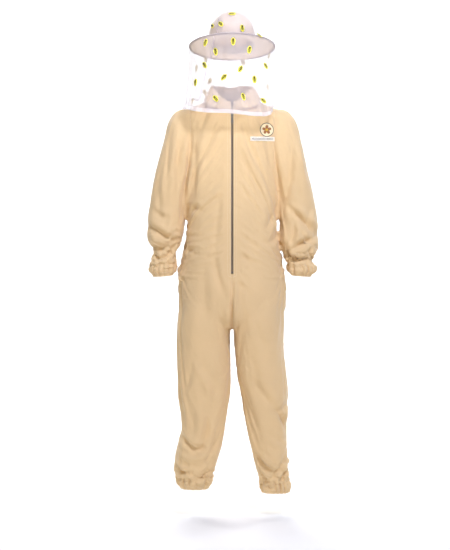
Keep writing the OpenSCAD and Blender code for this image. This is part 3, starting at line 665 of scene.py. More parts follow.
class Piece:
    """Points, normals and faces of one piece of the coverall, before it becomes an object."""

    def __init__(self, points, normals, faces):
        used = np.unique(np.concatenate([np.array(f) for f in faces]))
        index = np.full(len(points), -1)
        index[used] = np.arange(len(used))
        self.points, self.normals = points[used], normals[used]
        self.faces = [tuple(index[list(f)]) for f in faces]
        self.tree = BVHTree.FromPolygons(self.points.tolist(), self.faces)
        self.chains = self.border_chains()

    def border_chains(self):
        """The borders, each as a list of point numbers in the order of the faces beside it."""
        directed = {(f[k], f[(k + 1) % len(f)]) for f in self.faces for k in range(len(f))}
        after = {a: b for a, b in sorted(directed) if (b, a) not in directed}
        starts = sorted(set(after) - set(after.values())) + sorted(after)
        chains, seen = [], set()
        for s in starts:
            chain = [s]
            while chain[-1] in after and chain[-1] not in seen:
                seen.add(chain[-1])
                chain.append(after[chain[-1]])
            if len(chain) > 8:
                chains.append(chain)
        return chains

    def stretches(self, belongs):
        """Runs of the borders whose points satisfy belongs, as (points, normals, directions into the cloth)."""
        out = []
        for chain in self.chains:
            p, n = self.points[chain], self.normals[chain]
            inward = unit(np.cross(n, np.gradient(p, axis=0)))
            inside = belongs(p)
            cuts = np.where(np.diff(inside.astype(int)))[0] + 1
            for run in np.split(np.arange(len(chain)), cuts):
                if inside[run[0]] and len(run) > 3:
                    out.append((np.array(chain)[run], p[run], n[run], inward[run]))
        return out

    def turn_in(self, belongs, width, drop):
        """Adds a hem turned to the inside along a border."""
        for ids, p, n, inward in self.stretches(belongs):
            rows = [(p - n * drop * 0.45 - inward * drop * 0.35, unit(-inward - 0.3 * n)),
                    (p - n * drop + inward * drop * 0.2, -n), (p - n * drop + inward * width, -n)]
            before = ids
            for points, normals in rows:
                now = np.arange(len(p)) + len(self.points)
                self.points = np.concatenate([self.points, points])
                self.normals = np.concatenate([self.normals, normals])
                self.faces += [(before[k + 1], before[k], now[k], now[k + 1]) for k in range(len(p) - 1)]
                before = now

    def stitch_lines(self, belongs, offset):
        """Lines on the cloth at an offset from a border, as (points, normals)."""
        lines = []
        for _, p, n, inward in self.stretches(belongs):
            placed = [self.tree.find_nearest(Vector(q)) for q in p + inward * offset]
            lines.append((np.array([h[0] for h in placed]), np.array([h[1] for h in placed])))
        return lines

    def make(self, name, material):
        obj = mesh_object(name, self.points, self.faces, material)
        obj.data.normals_split_custom_set_from_vertices(unit(self.normals).tolist())
        return obj


STITCH = 0.0038                # pitch of the topstitching


def stitches(name, lines, pitch=STITCH, width=0.0007, height=0.0004):
    """Short raised threads along lines of (points, normals)."""
    boxes = []
    for points, normals in lines:
        run = np.concatenate([[0], np.cumsum(np.linalg.norm(np.diff(points, axis=0), axis=1))])
        count = int(run[-1] / pitch)
        if count < 2:
            continue
        at = (np.arange(count) + 0.5) * run[-1] / count
        centre = np.column_stack([np.interp(at, run, points[:, k]) for k in range(3)])
        up = unit(np.column_stack([np.interp(at, run, normals[:, k]) for k in range(3)]))
        ahead = unit(np.gradient(centre, axis=0))
        side = unit(np.cross(up, ahead))
        for c, u, a, s in zip(centre, up, ahead, side):
            half = a * pitch * 0.36
            ring = [s * width / 2, s * width * 0.3 + u * height, -s * width * 0.3 + u * height, -s * width / 2]
            ends = [c - half + r * 0.6 for r in ring] + [c - half * 0.5 + r for r in ring]
            ends += [c + half * 0.5 + r for r in ring] + [c + half + r * 0.6 for r in ring]
            boxes.append((ends, grid(4, 4) + [(3, 2, 1, 0), (12, 13, 14, 15)]))
    return mesh_object(name, *join(boxes), MATERIALS["thread"])


# ---- the coverall ---------------------------------------------------------------------------

VOXEL = 0.006
NECK_CENTRE_Y = -0.007
NECK_CUT_R = 0.079
SIDE_SEAM_Y = 0.004
RUFFLES = {"cuff": (14, 0.0052), "ankle": (18, 0.0062)}
FOLD_GAIN = 1.75
SEAM_PULL = 0.0022             # how far a seam's stitching draws the cloth in


def armhole(points):
    """Positive outside the armhole seam, which curves out towards the armpit."""
    x, z = np.abs(points[:, 0]), points[:, 2]
    return x - 0.153 - 0.75 * np.maximum(0, -0.09 - z) ** 2 * 1.05 - 0.25 * np.maximum(0, z + 0.09) ** 2


def neck(points):
    return np.hypot(points[:, 0], points[:, 1] - NECK_CENTRE_Y) - NECK_CUT_R


def hem_height(points):
    """Height above each ankle hem, which is a little lower behind."""
    side = np.where(points[:, 0] > 0, HEM_Z[1], HEM_Z[-1])
    return points[:, 2] - side + 0.0015 + 0.003 * np.clip(points[:, 1] / 0.05, -1, 1)


def wrist_height(points):
    """Height above each wrist's hem, which is a little lower outside."""
    return points[:, 2] - WRIST_Z + 0.07 * (np.abs(points[:, 0]) - 0.255)


def on_seam(points):
    """1 on the stitched seams, apart from the openings, else 0."""
    x, y, z = np.abs(points[:, 0]), points[:, 1], points[:, 2]
    below_zip = (x < 0.0006) & ((y > 0) | (z < ZIP_END - 0.01)) & (z < 0)
    sides = (np.abs(y - SIDE_SEAM_Y) < 0.0006) & (x < 0.24) & (z > KNEE_CUT) & (z < -0.3)
    arms = (np.abs(armhole(points)) < 0.0006) & (x < 0.19) & (z > -0.25) & (z < 0.05)
    return (below_zip | sides | arms).astype(float)


def tube_centre(points, table, side):
    """The middle of a sleeve or leg at each point's height."""
    z = [row[0] * MM for row in reversed(table)]
    x = np.interp(points[:, 2], z, [row[1] * MM for row in reversed(table)])
    y = np.interp(points[:, 2], z, [row[3] * MM for row in reversed(table)])
    return np.column_stack([side * x, y, points[:, 2]])


def folded_skin():
    mesh = fused_skin(VOXEL)
    hang(mesh)
    bm = bmesh.new()
    bm.from_mesh(mesh)
    for rise in (0.03, 0.0):
        refine(bm, lambda c: abs(c.x) > 0.2 and WRIST_Z - 0.01 < c.z < CUFF_TOP + rise)
        refine(bm, lambda c: hem_height(np.array([c]))[0] < 0.052 + rise and c.z > HEM_Z[1] - 0.015)
    bm.to_mesh(mesh)
    bm.free()
    mesh.update()
    points, normals, edges = coords(mesh), normals_of(mesh), edges_of(mesh)
    ends = np.maximum(
        smoothstep(-points[:, 2], -CUFF_TOP - 0.04, -CUFF_TOP) * (np.abs(points[:, 0]) > 0.2),
        smoothstep(-hem_height(points), -0.09, -0.06),
    )
    points = relax(points, edges, 5, ends)
    near_zip = (1 - smoothstep(np.abs(points[:, 0]), 0.010, 0.045)) * smoothstep(points[:, 2], ZIP_END - 0.05, ZIP_END)
    near_zip *= points[:, 1] < 0
    collar_side = smoothstep(-points[:, 2], -0.01, 0.04)
    move = fold_depths(points, normals, FRONT_FOLDS, -1) + fold_depths(points, normals, BACK_FOLDS, 1)
    move *= FOLD_GAIN
    calm = smoothstep(np.abs(points[:, 0]), 0.02, 0.07)
    broad = turbulence(points, (9, 9, 3.5), 3.0, 3)
    small = turbulence(points, (34, 34, 14), 11.0, 2)
    limb = np.maximum(smoothstep(np.abs(points[:, 0]), 0.19, 0.22), smoothstep(-points[:, 2], 0.85, 1.0))
    move += (0.0018 + 0.0016 * limb) * broad * (0.3 + 0.7 * calm) + (0.0005 + 0.0005 * limb) * small
    for side, _ in SIDES:
        arm = (points[:, 0] * side > 0.19) & (points[:, 2] < CUFF_TOP + 0.05) & (points[:, 2] > -0.66)
        centre = tube_centre(points[arm], SLEEVES[side], side)
        count, depth = RUFFLES["cuff"]
        band = (CUFF_TOP - 0.004, CUFF_TOP - 0.038, WRIST_Z)
        move[arm] += ruffles(points[arm], side, centre, band, count, depth, 1.3 * side)
        leg = (points[:, 0] * side > 0) & (points[:, 2] < HEM_Z[side] + 0.12)
        centre = tube_centre(points[leg], LEGS[side], side)
        count, depth = RUFFLES["ankle"]
        band = (HEM_Z[side] + 0.064, HEM_Z[side] + 0.022, HEM_Z[side])
        move[leg] += ruffles(points[leg], side, centre, band, count, depth, 0.7 + side)
    move *= (1 - near_zip) * (0.25 + 0.75 * collar_side)
    points = points + normals * move[:, None]
    points = relax(points, edges, 1)
    points[:, 1] += near_zip * (zip_y(points[:, 2]) - points[:, 1])
    mesh.vertices.foreach_set("co", points.ravel())
    mesh.update()
    return mesh


def cut_skin(mesh):
    """The folded skin, cut along its seams and openings: points, normals and named lists of faces."""
    bm = bmesh.new()
    bm.from_mesh(mesh)
    everywhere = lambda p: np.ones(len(p), bool)
    slice_along(bm, neck, lambda p: p[:, 2] > -0.01)
    slice_along(bm, lambda p: p[:, 0], lambda p: np.abs(p[:, 0]) < 0.05)
    slice_along(bm, lambda p: p[:, 1] - SIDE_SEAM_Y, lambda p: (np.abs(p[:, 0]) < 0.24) & (p[:, 2] > KNEE_CUT - 0.02))
    slice_along(bm, armhole, lambda p: (p[:, 2] > -0.27) & (np.abs(p[:, 0]) < 0.19))
    slice_along(bm, lambda p: p[:, 2] - ELBOW_CUT, lambda p: np.abs(p[:, 0]) > 0.175)
    slice_along(bm, lambda p: p[:, 2] - KNEE_CUT, everywhere)
    slice_along(bm, wrist_height, lambda p: (np.abs(p[:, 0]) > 0.2) & (p[:, 2] > -0.66))
    slice_along(bm, hem_height, lambda p: p[:, 2] < -1.36)
    for side, _ in SIDES:
        slice_along(bm, lambda p: side * p[:, 0] - ZIP_SLOT,
                    lambda p: (p[:, 1] < 0) & (p[:, 2] > ZIP_END - 0.01) & (np.abs(p[:, 0]) < 0.03))
    slice_along(bm, lambda p: p[:, 2] - ZIP_END, lambda p: (p[:, 1] < 0) & (np.abs(p[:, 0]) < 0.012))
    bm.verts.index_update()
    bm.normal_update()
    points = np.array([v.co for v in bm.verts])
    points -= np.array([v.normal for v in bm.verts]) * SEAM_PULL * on_seam(points)[:, None]
    for v, p in zip(bm.verts, points):
        v.co = p
    faces = [tuple(v.index for v in f.verts) for f in bm.faces]
    middles = np.array([f.calc_center_median() for f in bm.faces])
    bm.free()
    whole = mesh_object("whole", points, faces)
    normals = normals_of(whole.data)
    bpy.data.objects.remove(whole)
    x, y, z = middles.T
    gone = (neck(middles) < 0) & (z > -0.01)
    gone |= (np.abs(x) < ZIP_SLOT) & (y < 0) & (z > ZIP_END)
    gone |= (np.abs(x) > 0.2) & (z < -0.5) & (z > -0.7) & (wrist_height(middles) < 0)
    gone |= (z < -1.36) & (hem_height(middles) < 0)
    outside = np.where(z > -0.252, armhole(middles) > 0, sleeve_side(middles) & (z > -0.7))
    labels = {}
    for side, name in SIDES:
        here = (x * side > 0) & ~gone
        trunk = here & ~outside & (z > KNEE_CUT)
        labels[f"front_{name}"] = trunk & (y < SIDE_SEAM_Y)
        labels[f"back_{name}"] = trunk & (y >= SIDE_SEAM_Y)
        labels[f"upper_sleeve_{name}"] = here & outside & (z > ELBOW_CUT)
        labels[f"lower_sleeve_{name}"] = here & outside & (z <= ELBOW_CUT)
        labels[f"lower_leg_{name}"] = here & (z <= KNEE_CUT)
    pieces = {
        name: Piece(points, normals, [faces[k] for k in np.where(mask)[0]]) for name, mask in labels.items()
    }
    return points, faces, pieces


def sleeve_side(points):
    """True where a point below the armpit belongs to a sleeve and not to the trunk."""
    z = np.clip(points[:, 2], -0.66, -0.2)
    trunk = np.interp(z, [row[0] * MM for row in reversed(TRUNK)], [row[2] * MM for row in reversed(TRUNK)])
    inner = np.interp(
        z, [row[0] * MM for row in reversed(SLEEVES[1])], [(row[1] - row[2]) * MM for row in reversed(SLEEVES[1])]
    )
    return np.abs(points[:, 0]) > (trunk + inner) / 2


# Each cut piece: half of it lies flat as (width, length), and its flat area.
FLAT = {
    "front": ((0.33, 1.06), 0.30), "back": ((0.33, 1.10), 0.32), "upper_sleeve": ((0.50, 0.40), 0.155),
    "lower_sleeve": ((0.44, 0.26), 0.100), "lower_leg": ((0.56, 0.46), 0.235),
}
CAD_PARTS = {
    "front": ["front_{}_panel"], "back": ["back_{}_panel"],
    "upper_sleeve": ["shoulder_{}", "upper_sleeve_{}"],
    "lower_sleeve": ["elbow_{}", "lower_sleeve_{}", "cuff_{}"],
    "lower_leg": ["knee_{}", "shin_{}", "ankle_hem_{}"],
}


def bend(obj, kind):
    """Bakes a piece's placement into its mesh; every kind of piece is treated the same."""
    if kind in ("front", "back"):
        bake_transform(obj)
    elif kind == "upper_sleeve":
        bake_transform(obj)
    elif kind == "lower_sleeve":
        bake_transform(obj)
    else:
        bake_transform(obj)


def make_coverall():
    points, faces, pieces = cut_skin(folded_skin())
    skin = BVHTree.FromPolygons(points.tolist(), faces)
    zip_edge = lambda p: (np.abs(p[:, 0]) < ZIP_SLOT + 0.001) & (p[:, 1] < 0) & (p[:, 2] > ZIP_END - 0.001)
    neck_edge = lambda p: (np.abs(neck(p)) < 0.0015) & (p[:, 2] > -0.01)
    wrist_edge = lambda p: (np.abs(wrist_height(p)) < 0.0015) & (np.abs(p[:, 0]) > 0.2)
    ankle_edge = lambda p: np.abs(hem_height(p)) < 0.0015
    centre_edge = lambda p: (np.abs(p[:, 0]) < 0.001)
    arm_edge = lambda p: (np.abs(armhole(p)) < 0.0015) & (p[:, 2] > -0.25)
    side_edge = lambda p: (np.abs(p[:, 1] - SIDE_SEAM_Y) < 0.001)
    made = {}
    for side, name in SIDES:
        for kind in FLAT:
            piece = pieces[f"{kind}_{name}"]
            lines = []
            if kind in ("front", "back"):
                lines += piece.stitch_lines(neck_edge, 0.004) + piece.stitch_lines(side_edge, 0.003)
                lines += piece.stitch_lines(arm_edge, 0.003)
                if side > 0 or kind == "front":
                    lines += piece.stitch_lines(centre_edge, 0.004)
            if kind == "front":
                lines += piece.stitch_lines(zip_edge, 0.0035) + piece.stitch_lines(zip_edge, 0.0115)
            if kind == "lower_sleeve":
                lines += piece.stitch_lines(wrist_edge, 0.003) + piece.stitch_lines(wrist_edge, 0.014)
            if kind == "lower_leg":
                lines += piece.stitch_lines(ankle_edge, 0.003) + piece.stitch_lines(ankle_edge, 0.015)
            piece.turn_in(zip_edge, 0.012, 0.0016)
            piece.turn_in(neck_edge, 0.008, 0.0016)
            piece.turn_in(wrist_edge, 0.014, 0.0016)
            piece.turn_in(ankle_edge, 0.016, 0.0016)
            obj = piece.make(f"{kind}_{name}", MATERIALS["suit_cloth"])
            bend(obj, kind)
            parts = [part.format(name) for part in CAD_PARTS[kind]]
            if kind == "front":
                parts += [f"hip_{name}", f"thigh_{name}"]
            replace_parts(obj, *parts)
            made[obj.name] = obj
            if lines:
                rows = stitches(f"stitching_{kind}_{name}", lines)
                bend(rows, kind)
    return skin, made


DRAPE_VOXEL = 0.009
DRAPE_FRAMES = 26
DRAPE_CAP = 0.013              # the furthest that a fold may move the cloth
DRAPE_DROP = 0.007             # the furthest that the cloth may sink
BODY_GAP = 0.016               # space between the cloth and the shape inside it


def voxel_copy(mesh, voxel, name):
    rough = bpy.data.objects.new("rough_" + name, mesh)
    bpy.context.scene.collection.objects.link(rough)
    remesh = rough.modifiers.new("fuse", "REMESH")
    remesh.mode = "VOXEL"
    remesh.voxel_size = voxel
    made = bpy.data.meshes.new_from_object(rough.evaluated_get(bpy.context.evaluated_depsgraph_get()))
    bpy.data.objects.remove(rough)
    points = relax(coords(made), edges_of(made), 3)
    made.vertices.foreach_set("co", points.ravel())
    made.update()
    obj = bpy.data.objects.new(name, made)
    bpy.context.scene.collection.objects.link(obj)
    return obj


def held_share(points):
    """How firmly each point is held: by the collar, the zip and the elastics at the wrists and ankles."""
    x, y, z = np.abs(points[:, 0]), points[:, 1], points[:, 2]
    side = np.where(points[:, 0] > 0, HEM_Z[1], HEM_Z[-1])
    collar = 1 - smoothstep(neck(points), 0.0, 0.05)
    collar *= smoothstep(z, -0.06, -0.01)
    zip_line = (1 - smoothstep(x, 0.012, 0.05)) * (y < 0) * smoothstep(z, ZIP_END - 0.05, ZIP_END)
    wrist = smoothstep(-z, 0.552, 0.582) * (x > 0.2) * (z > -0.7)
    ankle = smoothstep(side - z, -0.045, -0.012)
    return np.clip(np.maximum.reduce([collar, zip_line, wrist, ankle]), 0, 1)


def capped(move, most):
    far = np.linalg.norm(move, axis=1)[:, None]
    return move * most * np.tanh(far / most) / np.maximum(far, 1e-9)


def hang(mesh):
    """Hangs the skin as cloth over a shape inside it, and moves the mesh by what the cloth moved."""
    scene = bpy.context.scene
    cloth_obj = voxel_copy(mesh, DRAPE_VOXEL, "drape_cloth")
    body = voxel_copy(mesh, 0.018, "drape_body")
    inner = coords(body.data) - normals_of(body.data) * BODY_GAP
    body.data.vertices.foreach_set("co", inner.ravel())
    body.data.update()
    body.modifiers.new("collide", "COLLISION")
    body.collision.thickness_outer = 0.003
    body.collision.cloth_friction = 12
    before = coords(cloth_obj.data)
    held = held_share(before)
    group = cloth_obj.vertex_groups.new(name="held")
    for level in np.linspace(0.1, 1, 10):
        chosen = np.where(np.round(held, 1) == np.round(level, 1))[0]
        if len(chosen):
            group.add(chosen.tolist(), float(level), "REPLACE")
    modifier = cloth_obj.modifiers.new("drape", "CLOTH")
    settings = modifier.settings
    settings.quality = 5
    settings.mass = 0.25
    settings.tension_stiffness = settings.compression_stiffness = 18
    settings.shear_stiffness = 4
    settings.bending_stiffness = 0.08
    settings.air_damping = 2
    settings.shrink_min = settings.shrink_max = -0.065
    settings.vertex_group_mass = "held"
    modifier.collision_settings.collision_quality = 2
    modifier.collision_settings.distance_min = 0.003
    modifier.collision_settings.use_self_collision = False
    modifier.point_cache.frame_start, modifier.point_cache.frame_end = 1, DRAPE_FRAMES
    for step in range(1, DRAPE_FRAMES + 1):
        scene.frame_set(step)
    hung = bpy.data.meshes.new_from_object(cloth_obj.evaluated_get(bpy.context.evaluated_depsgraph_get()))
    move = coords(hung) - before
    broad = relax(move, edges_of(hung), 60)
    move = capped(move - broad, DRAPE_CAP) + capped(broad, DRAPE_DROP)
    faces = [tuple(p.vertices) for p in cloth_obj.data.polygons]
    tree = BVHTree.FromPolygons(before.tolist(), faces)
    points = coords(mesh)
    shift = np.zeros_like(points)
    for k, p in enumerate(points):
        place, _, face, _ = tree.find_nearest(Vector(p))
        ring = list(faces[face])
        weight = 1 / (np.linalg.norm(before[ring] - np.array(place), axis=1) + 1e-5) ** 2
        shift[k] = (move[ring] * weight[:, None]).sum(0) / weight.sum()
    x, z = np.abs(points[:, 0]), points[:, 2]
    facing = (1 - smoothstep(np.abs(x - 0.182), 0.0, 0.02)) * smoothstep(-z, 0.2, 0.26) * (1 - smoothstep(-z, 0.42, 0.48))
    inseam = (1 - smoothstep(x, 0.01, 0.035)) * smoothstep(-z, 0.72, 0.78) * (1 - smoothstep(-z, 0.95, 1.05))
    shift[:, 0] *= 1 - 0.75 * np.maximum(facing, inseam)
    mesh.vertices.foreach_set("co", (points + shift).ravel())
    mesh.update()
    for obj in (cloth_obj, body):
        bpy.data.objects.remove(obj)
    scene.frame_set(1)


# ---- collar ---------------------------------------------------------------------------------

STAND_R = 0.0762
STAND_HEIGHT = 0.043
COLLAR_GAP = 4.5               # half the opening at the front, in degrees
CLOTH = 0.0022                 # thickness of doubled, stitched cloth
# The fall's outer edge on the left: turn from the front, then x, y and z in millimetres.
COLLAR_EDGE = [
    (4, 12, -98, 14), (10, 24, -99, 15), (24, 52, -98, 17), (36, 79, -91, 22), (46, 93, -78, 31), (62, 101, -50, 44),
    (90, 105, -4, 53), (135, 87, 67, 58), (180, 0, 105, 64),
]


def smooth_lookup(at, table):
    """Values between the rows of a table, by smooth curves through them."""
    table = np.array(table, float)
    slope = np.gradient(table[:, 1:], table[:, 0], axis=0)
    k = np.clip(np.searchsorted(table[:, 0], at, side="right") - 1, 0, len(table) - 2)
    step = (table[k + 1, 0] - table[k, 0])[:, None]
    u = (np.asarray(at)[:, None] - table[k, 0][:, None]) / step
    return (
        (2 * u**3 - 3 * u**2 + 1) * table[k, 1:] + (u**3 - 2 * u**2 + u) * step * slope[k]
        + (-2 * u**3 + 3 * u**2) * table[k + 1, 1:] + (u**3 - u**2) * step * slope[k + 1]
    )


def neck_point(turns, radius):
    return np.column_stack([radius * np.sin(turns), NECK_CENTRE_Y - (radius + 0.002) * np.cos(turns)])


def drop_on(skin, x, y, fallback=0.02):
    hit = skin.ray_cast(Vector((x, y, 0.5)), Vector((0, 0, -1)))
    return hit[0].z if hit[0] else fallback


def clear_of(points, skin, gap):
    """Points moved out of a surface, to stay at least gap above it."""
    out = points.copy()
    for k, p in enumerate(points):
        place, normal, _, far = skin.find_nearest(Vector(p))
        height = (Vector(p) - place).dot(normal)
        if height < gap and abs(height) > 0.7 * far and far < 0.04:
            out[k] = np.array(place + normal * gap)
    return out


def thickened(rows, thickness, material, name, open_ends=True):
    """A sheet given as rows of points, doubled through its thickness into a closed piece."""
    rows = np.array(rows)
    count, across = rows.shape[:2]
    along = np.gradient(rows, axis=0)
    aside = np.gradient(rows, axis=1)
    normals = unit(np.cross(aside, along))
    inner = rows - normals * thickness
    points = np.concatenate([rows.reshape(-1, 3), inner.reshape(-1, 3)])
    faces = grid(count, across)
    shift = count * across
    faces += [tuple(i + shift for i in reversed(f)) for f in grid(count, across)]
    rim = [k for k in range(across)] + [r * across + across - 1 for r in range(1, count)]
    rim += [(count - 1) * across + k for k in range(across - 2, -1, -1)] + [r * across for r in range(count - 2, 0, -1)]
    faces += [(rim[k + 1 - len(rim)], rim[k], rim[k] + shift, rim[k + 1 - len(rim)] + shift) for k in range(len(rim))]
    obj = mesh_object(name, points, faces, material)
    return obj, rows, normals


def make_collar(skin):
    turns = np.radians(np.linspace(COLLAR_GAP, 360 - COLLAR_GAP, 177))
    away = np.minimum(turns, 2 * math.pi - turns)
    base = neck_point(turns, STAND_R)
    base_z = np.array([drop_on(skin, x * 1.03, (y - NECK_CENTRE_Y) * 1.03 + NECK_CENTRE_Y) for x, y in base])
    base_z = np.convolve(np.pad(base_z, 6, mode="edge"), np.ones(13) / 13, mode="valid")
    rise = STAND_HEIGHT * np.sin(np.minimum(away, math.pi / 2)) ** 0.8 + 0.004
    rise += 0.0015 * np.sin(3 * turns) + 0.001 * np.sin(7 * turns + 1)
    top_z = base_z + rise
    stand = [
        np.column_stack([neck_point(turns, STAND_R - 0.005 * s - 0.0016 * math.sin(s * math.pi)), base_z + rise * s])
        for s in np.linspace(0, 1, 12)
    ]
    obj, rows, normals = thickened(stand, CLOTH, MATERIALS["collar_cloth"], "collar_stand")
    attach(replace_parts(obj, "collar_stand"), "root")
    edge = smooth_lookup(np.degrees(away), COLLAR_EDGE) * MM
    edge[:, 0] *= np.where(turns < math.pi, 1, -1)
    fold = np.column_stack([neck_point(turns, STAND_R - 0.0062), top_z])
    outward = unit(edge - fold)
    lean = np.column_stack([outward[:, :2], np.zeros(len(turns))])
    shares = np.linspace(0, 1, 26)
    fall = []
    for s in shares:
        knee = fold + lean * 0.017 + np.array([0, 0, 0.0085])
        row = (1 - s) ** 2 * fold + 2 * s * (1 - s) * knee + s**2 * edge
        ripple = 0.0022 * s * np.sin(5 * turns + 0.6) + 0.0014 * s * np.sin(11 * turns)
        row = row + np.column_stack([lean[:, :2] * ripple[:, None], ripple])
        fall.append(clear_of(row, skin, 0.0032) if s > 0.35 else row)
    obj, rows, normals = thickened(fall[::-1], CLOTH, MATERIALS["collar_cloth"], "collar_fall")
    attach(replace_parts(obj, "collar_fall"), "root")
    inset = 2
    lines = [(rows[inset], normals[inset]), (rows[:-1, inset], normals[:-1, inset]), (rows[:-1, -1 - inset], normals[:-1, -1 - inset])]
    rows_of = stitches("collar_stitching", lines)
    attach(rows_of, "root")


# ---- zip ------------------------------------------------------------------------------------

TAPE = (0.0008, 0.0155, 0.0036, 0.0008)        # inner edge, outer edge, depth of its face, thickness
TOOTH_PITCH = 0.0034
TOOTH = (0.0026, 0.0013, 0.0023)               # length across the tape, width along it, height


def zip_point(x, y, z):
    """A point of the zip's own frame, whose z runs up the teeth and y into the suit."""
    c, s = math.cos(ZIP_LEAN), math.sin(ZIP_LEAN)
    return np.array([x, y * c + z * s, -y * s + z * c]) + ZIP_TOP


def make_zip():
    for side, name in SIDES:
        rows = []
        for z in np.linspace(-0.004, -ZIP_LENGTH + 0.001, 260):
            wave = 0.00025 * math.sin(z * 900)
            across = [TAPE[0], 0.0018, 0.0035, 0.007, 0.011, TAPE[1] + wave]
            rows.append([zip_point(side * x, TAPE[2] + 0.0002 * math.sin(x * 1500), z) for x in across])
        rows = rows if side > 0 else [list(reversed(r)) for r in rows]
        obj, _, _ = thickened(rows, TAPE[3], MATERIALS["zip_tape"], f"zip_tape_{name}")
        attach(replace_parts(obj, f"zip_tape_{name}"), "root")
        teeth = []
        half_l, half_w = TOOTH[0] / 2, TOOTH[1] / 2
        count = int((ZIP_LENGTH - 0.022) / TOOTH_PITCH)
        for k in range(count):
            z = -0.010 - (k + (0.5 if side > 0 else 0)) * TOOTH_PITCH
            x = side * (0.0002 + half_l)
            ring = [(-half_l, -0.6 * half_w), (-0.6 * half_l, -half_w), (half_l, -half_w), (half_l, half_w),
                    (-0.6 * half_l, half_w), (-half_l, 0.6 * half_w)]
            points = []
            for y, grow in ((TAPE[2] + 0.001, 1.0), (TAPE[2] - 0.0012, 1.0), (TAPE[2] - 0.0019, 0.72)):
                points += [zip_point(x + side * a * grow, y, z + b * grow) for a, b in ring]
            teeth.append((points, grid(3, 6, wrap=True) + [(5, 4, 3, 2, 1, 0), (12, 13, 14, 15, 16, 17)]))
        obj = mesh_object(f"zip_teeth_{name}", *join(teeth), MATERIALS["zip_metal"], smooth=False)
        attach(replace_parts(obj, f"zip_teeth_{name}"), "root")


# ---- what is sewn on the chest, and the pockets ---------------------------------------------

PATCH_AT = (0.125, -0.061)
PATCH_R = 0.024
LABEL_AT = (0.110, -0.094)
LABEL_SIZE = (0.088, 0.015)


def on_front(skin, x, z, out):
    """The point of the suit's front at x and z, moved out along its normal."""
    place, normal, _, _ = skin.ray_cast(Vector((x, -0.6, z)), Vector((0, 1, 0)))
    return np.array(place + normal * out)


def disc(skin, centre, radius, height, rings=10, around=72, crown=0.0):
    """A round applique with a rounded edge. radius may be a function of the turn."""
    points = [on_front(skin, *centre, height + crown)]
    turns = np.linspace(0, 2 * math.pi, around, endpoint=False)
    shares = list(np.linspace(0, 1, rings)[1:]) + [1.03, 1.03]
    heights = [height + crown * (1 - s * s) for s in shares[:-2]] + [height * 0.5, -0.0004]
    for s, h in zip(shares, heights):
        for t in turns:
            r = radius(t) * s
            points.append(on_front(skin, centre[0] + r * math.cos(t), centre[1] + r * math.sin(t), h))
    faces = [(0, 1 + k, 1 + (k + 1) % around) for k in range(around)]
    faces += [tuple(reversed(f)) for f in grid(len(shares), around, wrap=True, first=1)]
    return points, faces


def tube_along(path, normals, radius, sides=8, closed=False, twist=0.0, flat=0.7):
    """A cord lying along a path, rounded by its normals."""
    path = np.array(path)
    count = len(path)
    ahead = np.roll(path, -1, 0) - np.roll(path, 1, 0) if closed else np.gradient(path, axis=0)
    ahead = unit(ahead)
    up = unit(np.array(normals))
    side = unit(np.cross(ahead, up))
    points = []
    for k in range(count):
        r = radius(k / (count - 1)) if callable(radius) else radius
        for a in np.linspace(0, 2 * math.pi, sides, endpoint=False):
            swell = 1 + twist * math.sin(a * 1 + k * 1.4)
            points.append(path[k] + (side[k] * math.cos(a) + up[k] * flat * math.sin(a)) * r * swell)
    faces = grid(count, sides, wrap=True)
    if closed:
        last = (count - 1) * sides
        faces += [(last + k, last + (k + 1) % sides, (k + 1) % sides, k) for k in range(sides)]
    else:
        faces += [tuple(reversed(range(sides))), tuple(range((count - 1) * sides, count * sides))]
    return points, faces


def front_path(skin, line, out, smooth=1):
    pairs = [skin.ray_cast(Vector((x, -0.6, z)), Vector((0, 1, 0))) for x, z in line]
    return [np.array(p + n * out) for p, n, _, _ in pairs], [np.array(n) for _, n, _, _ in pairs]


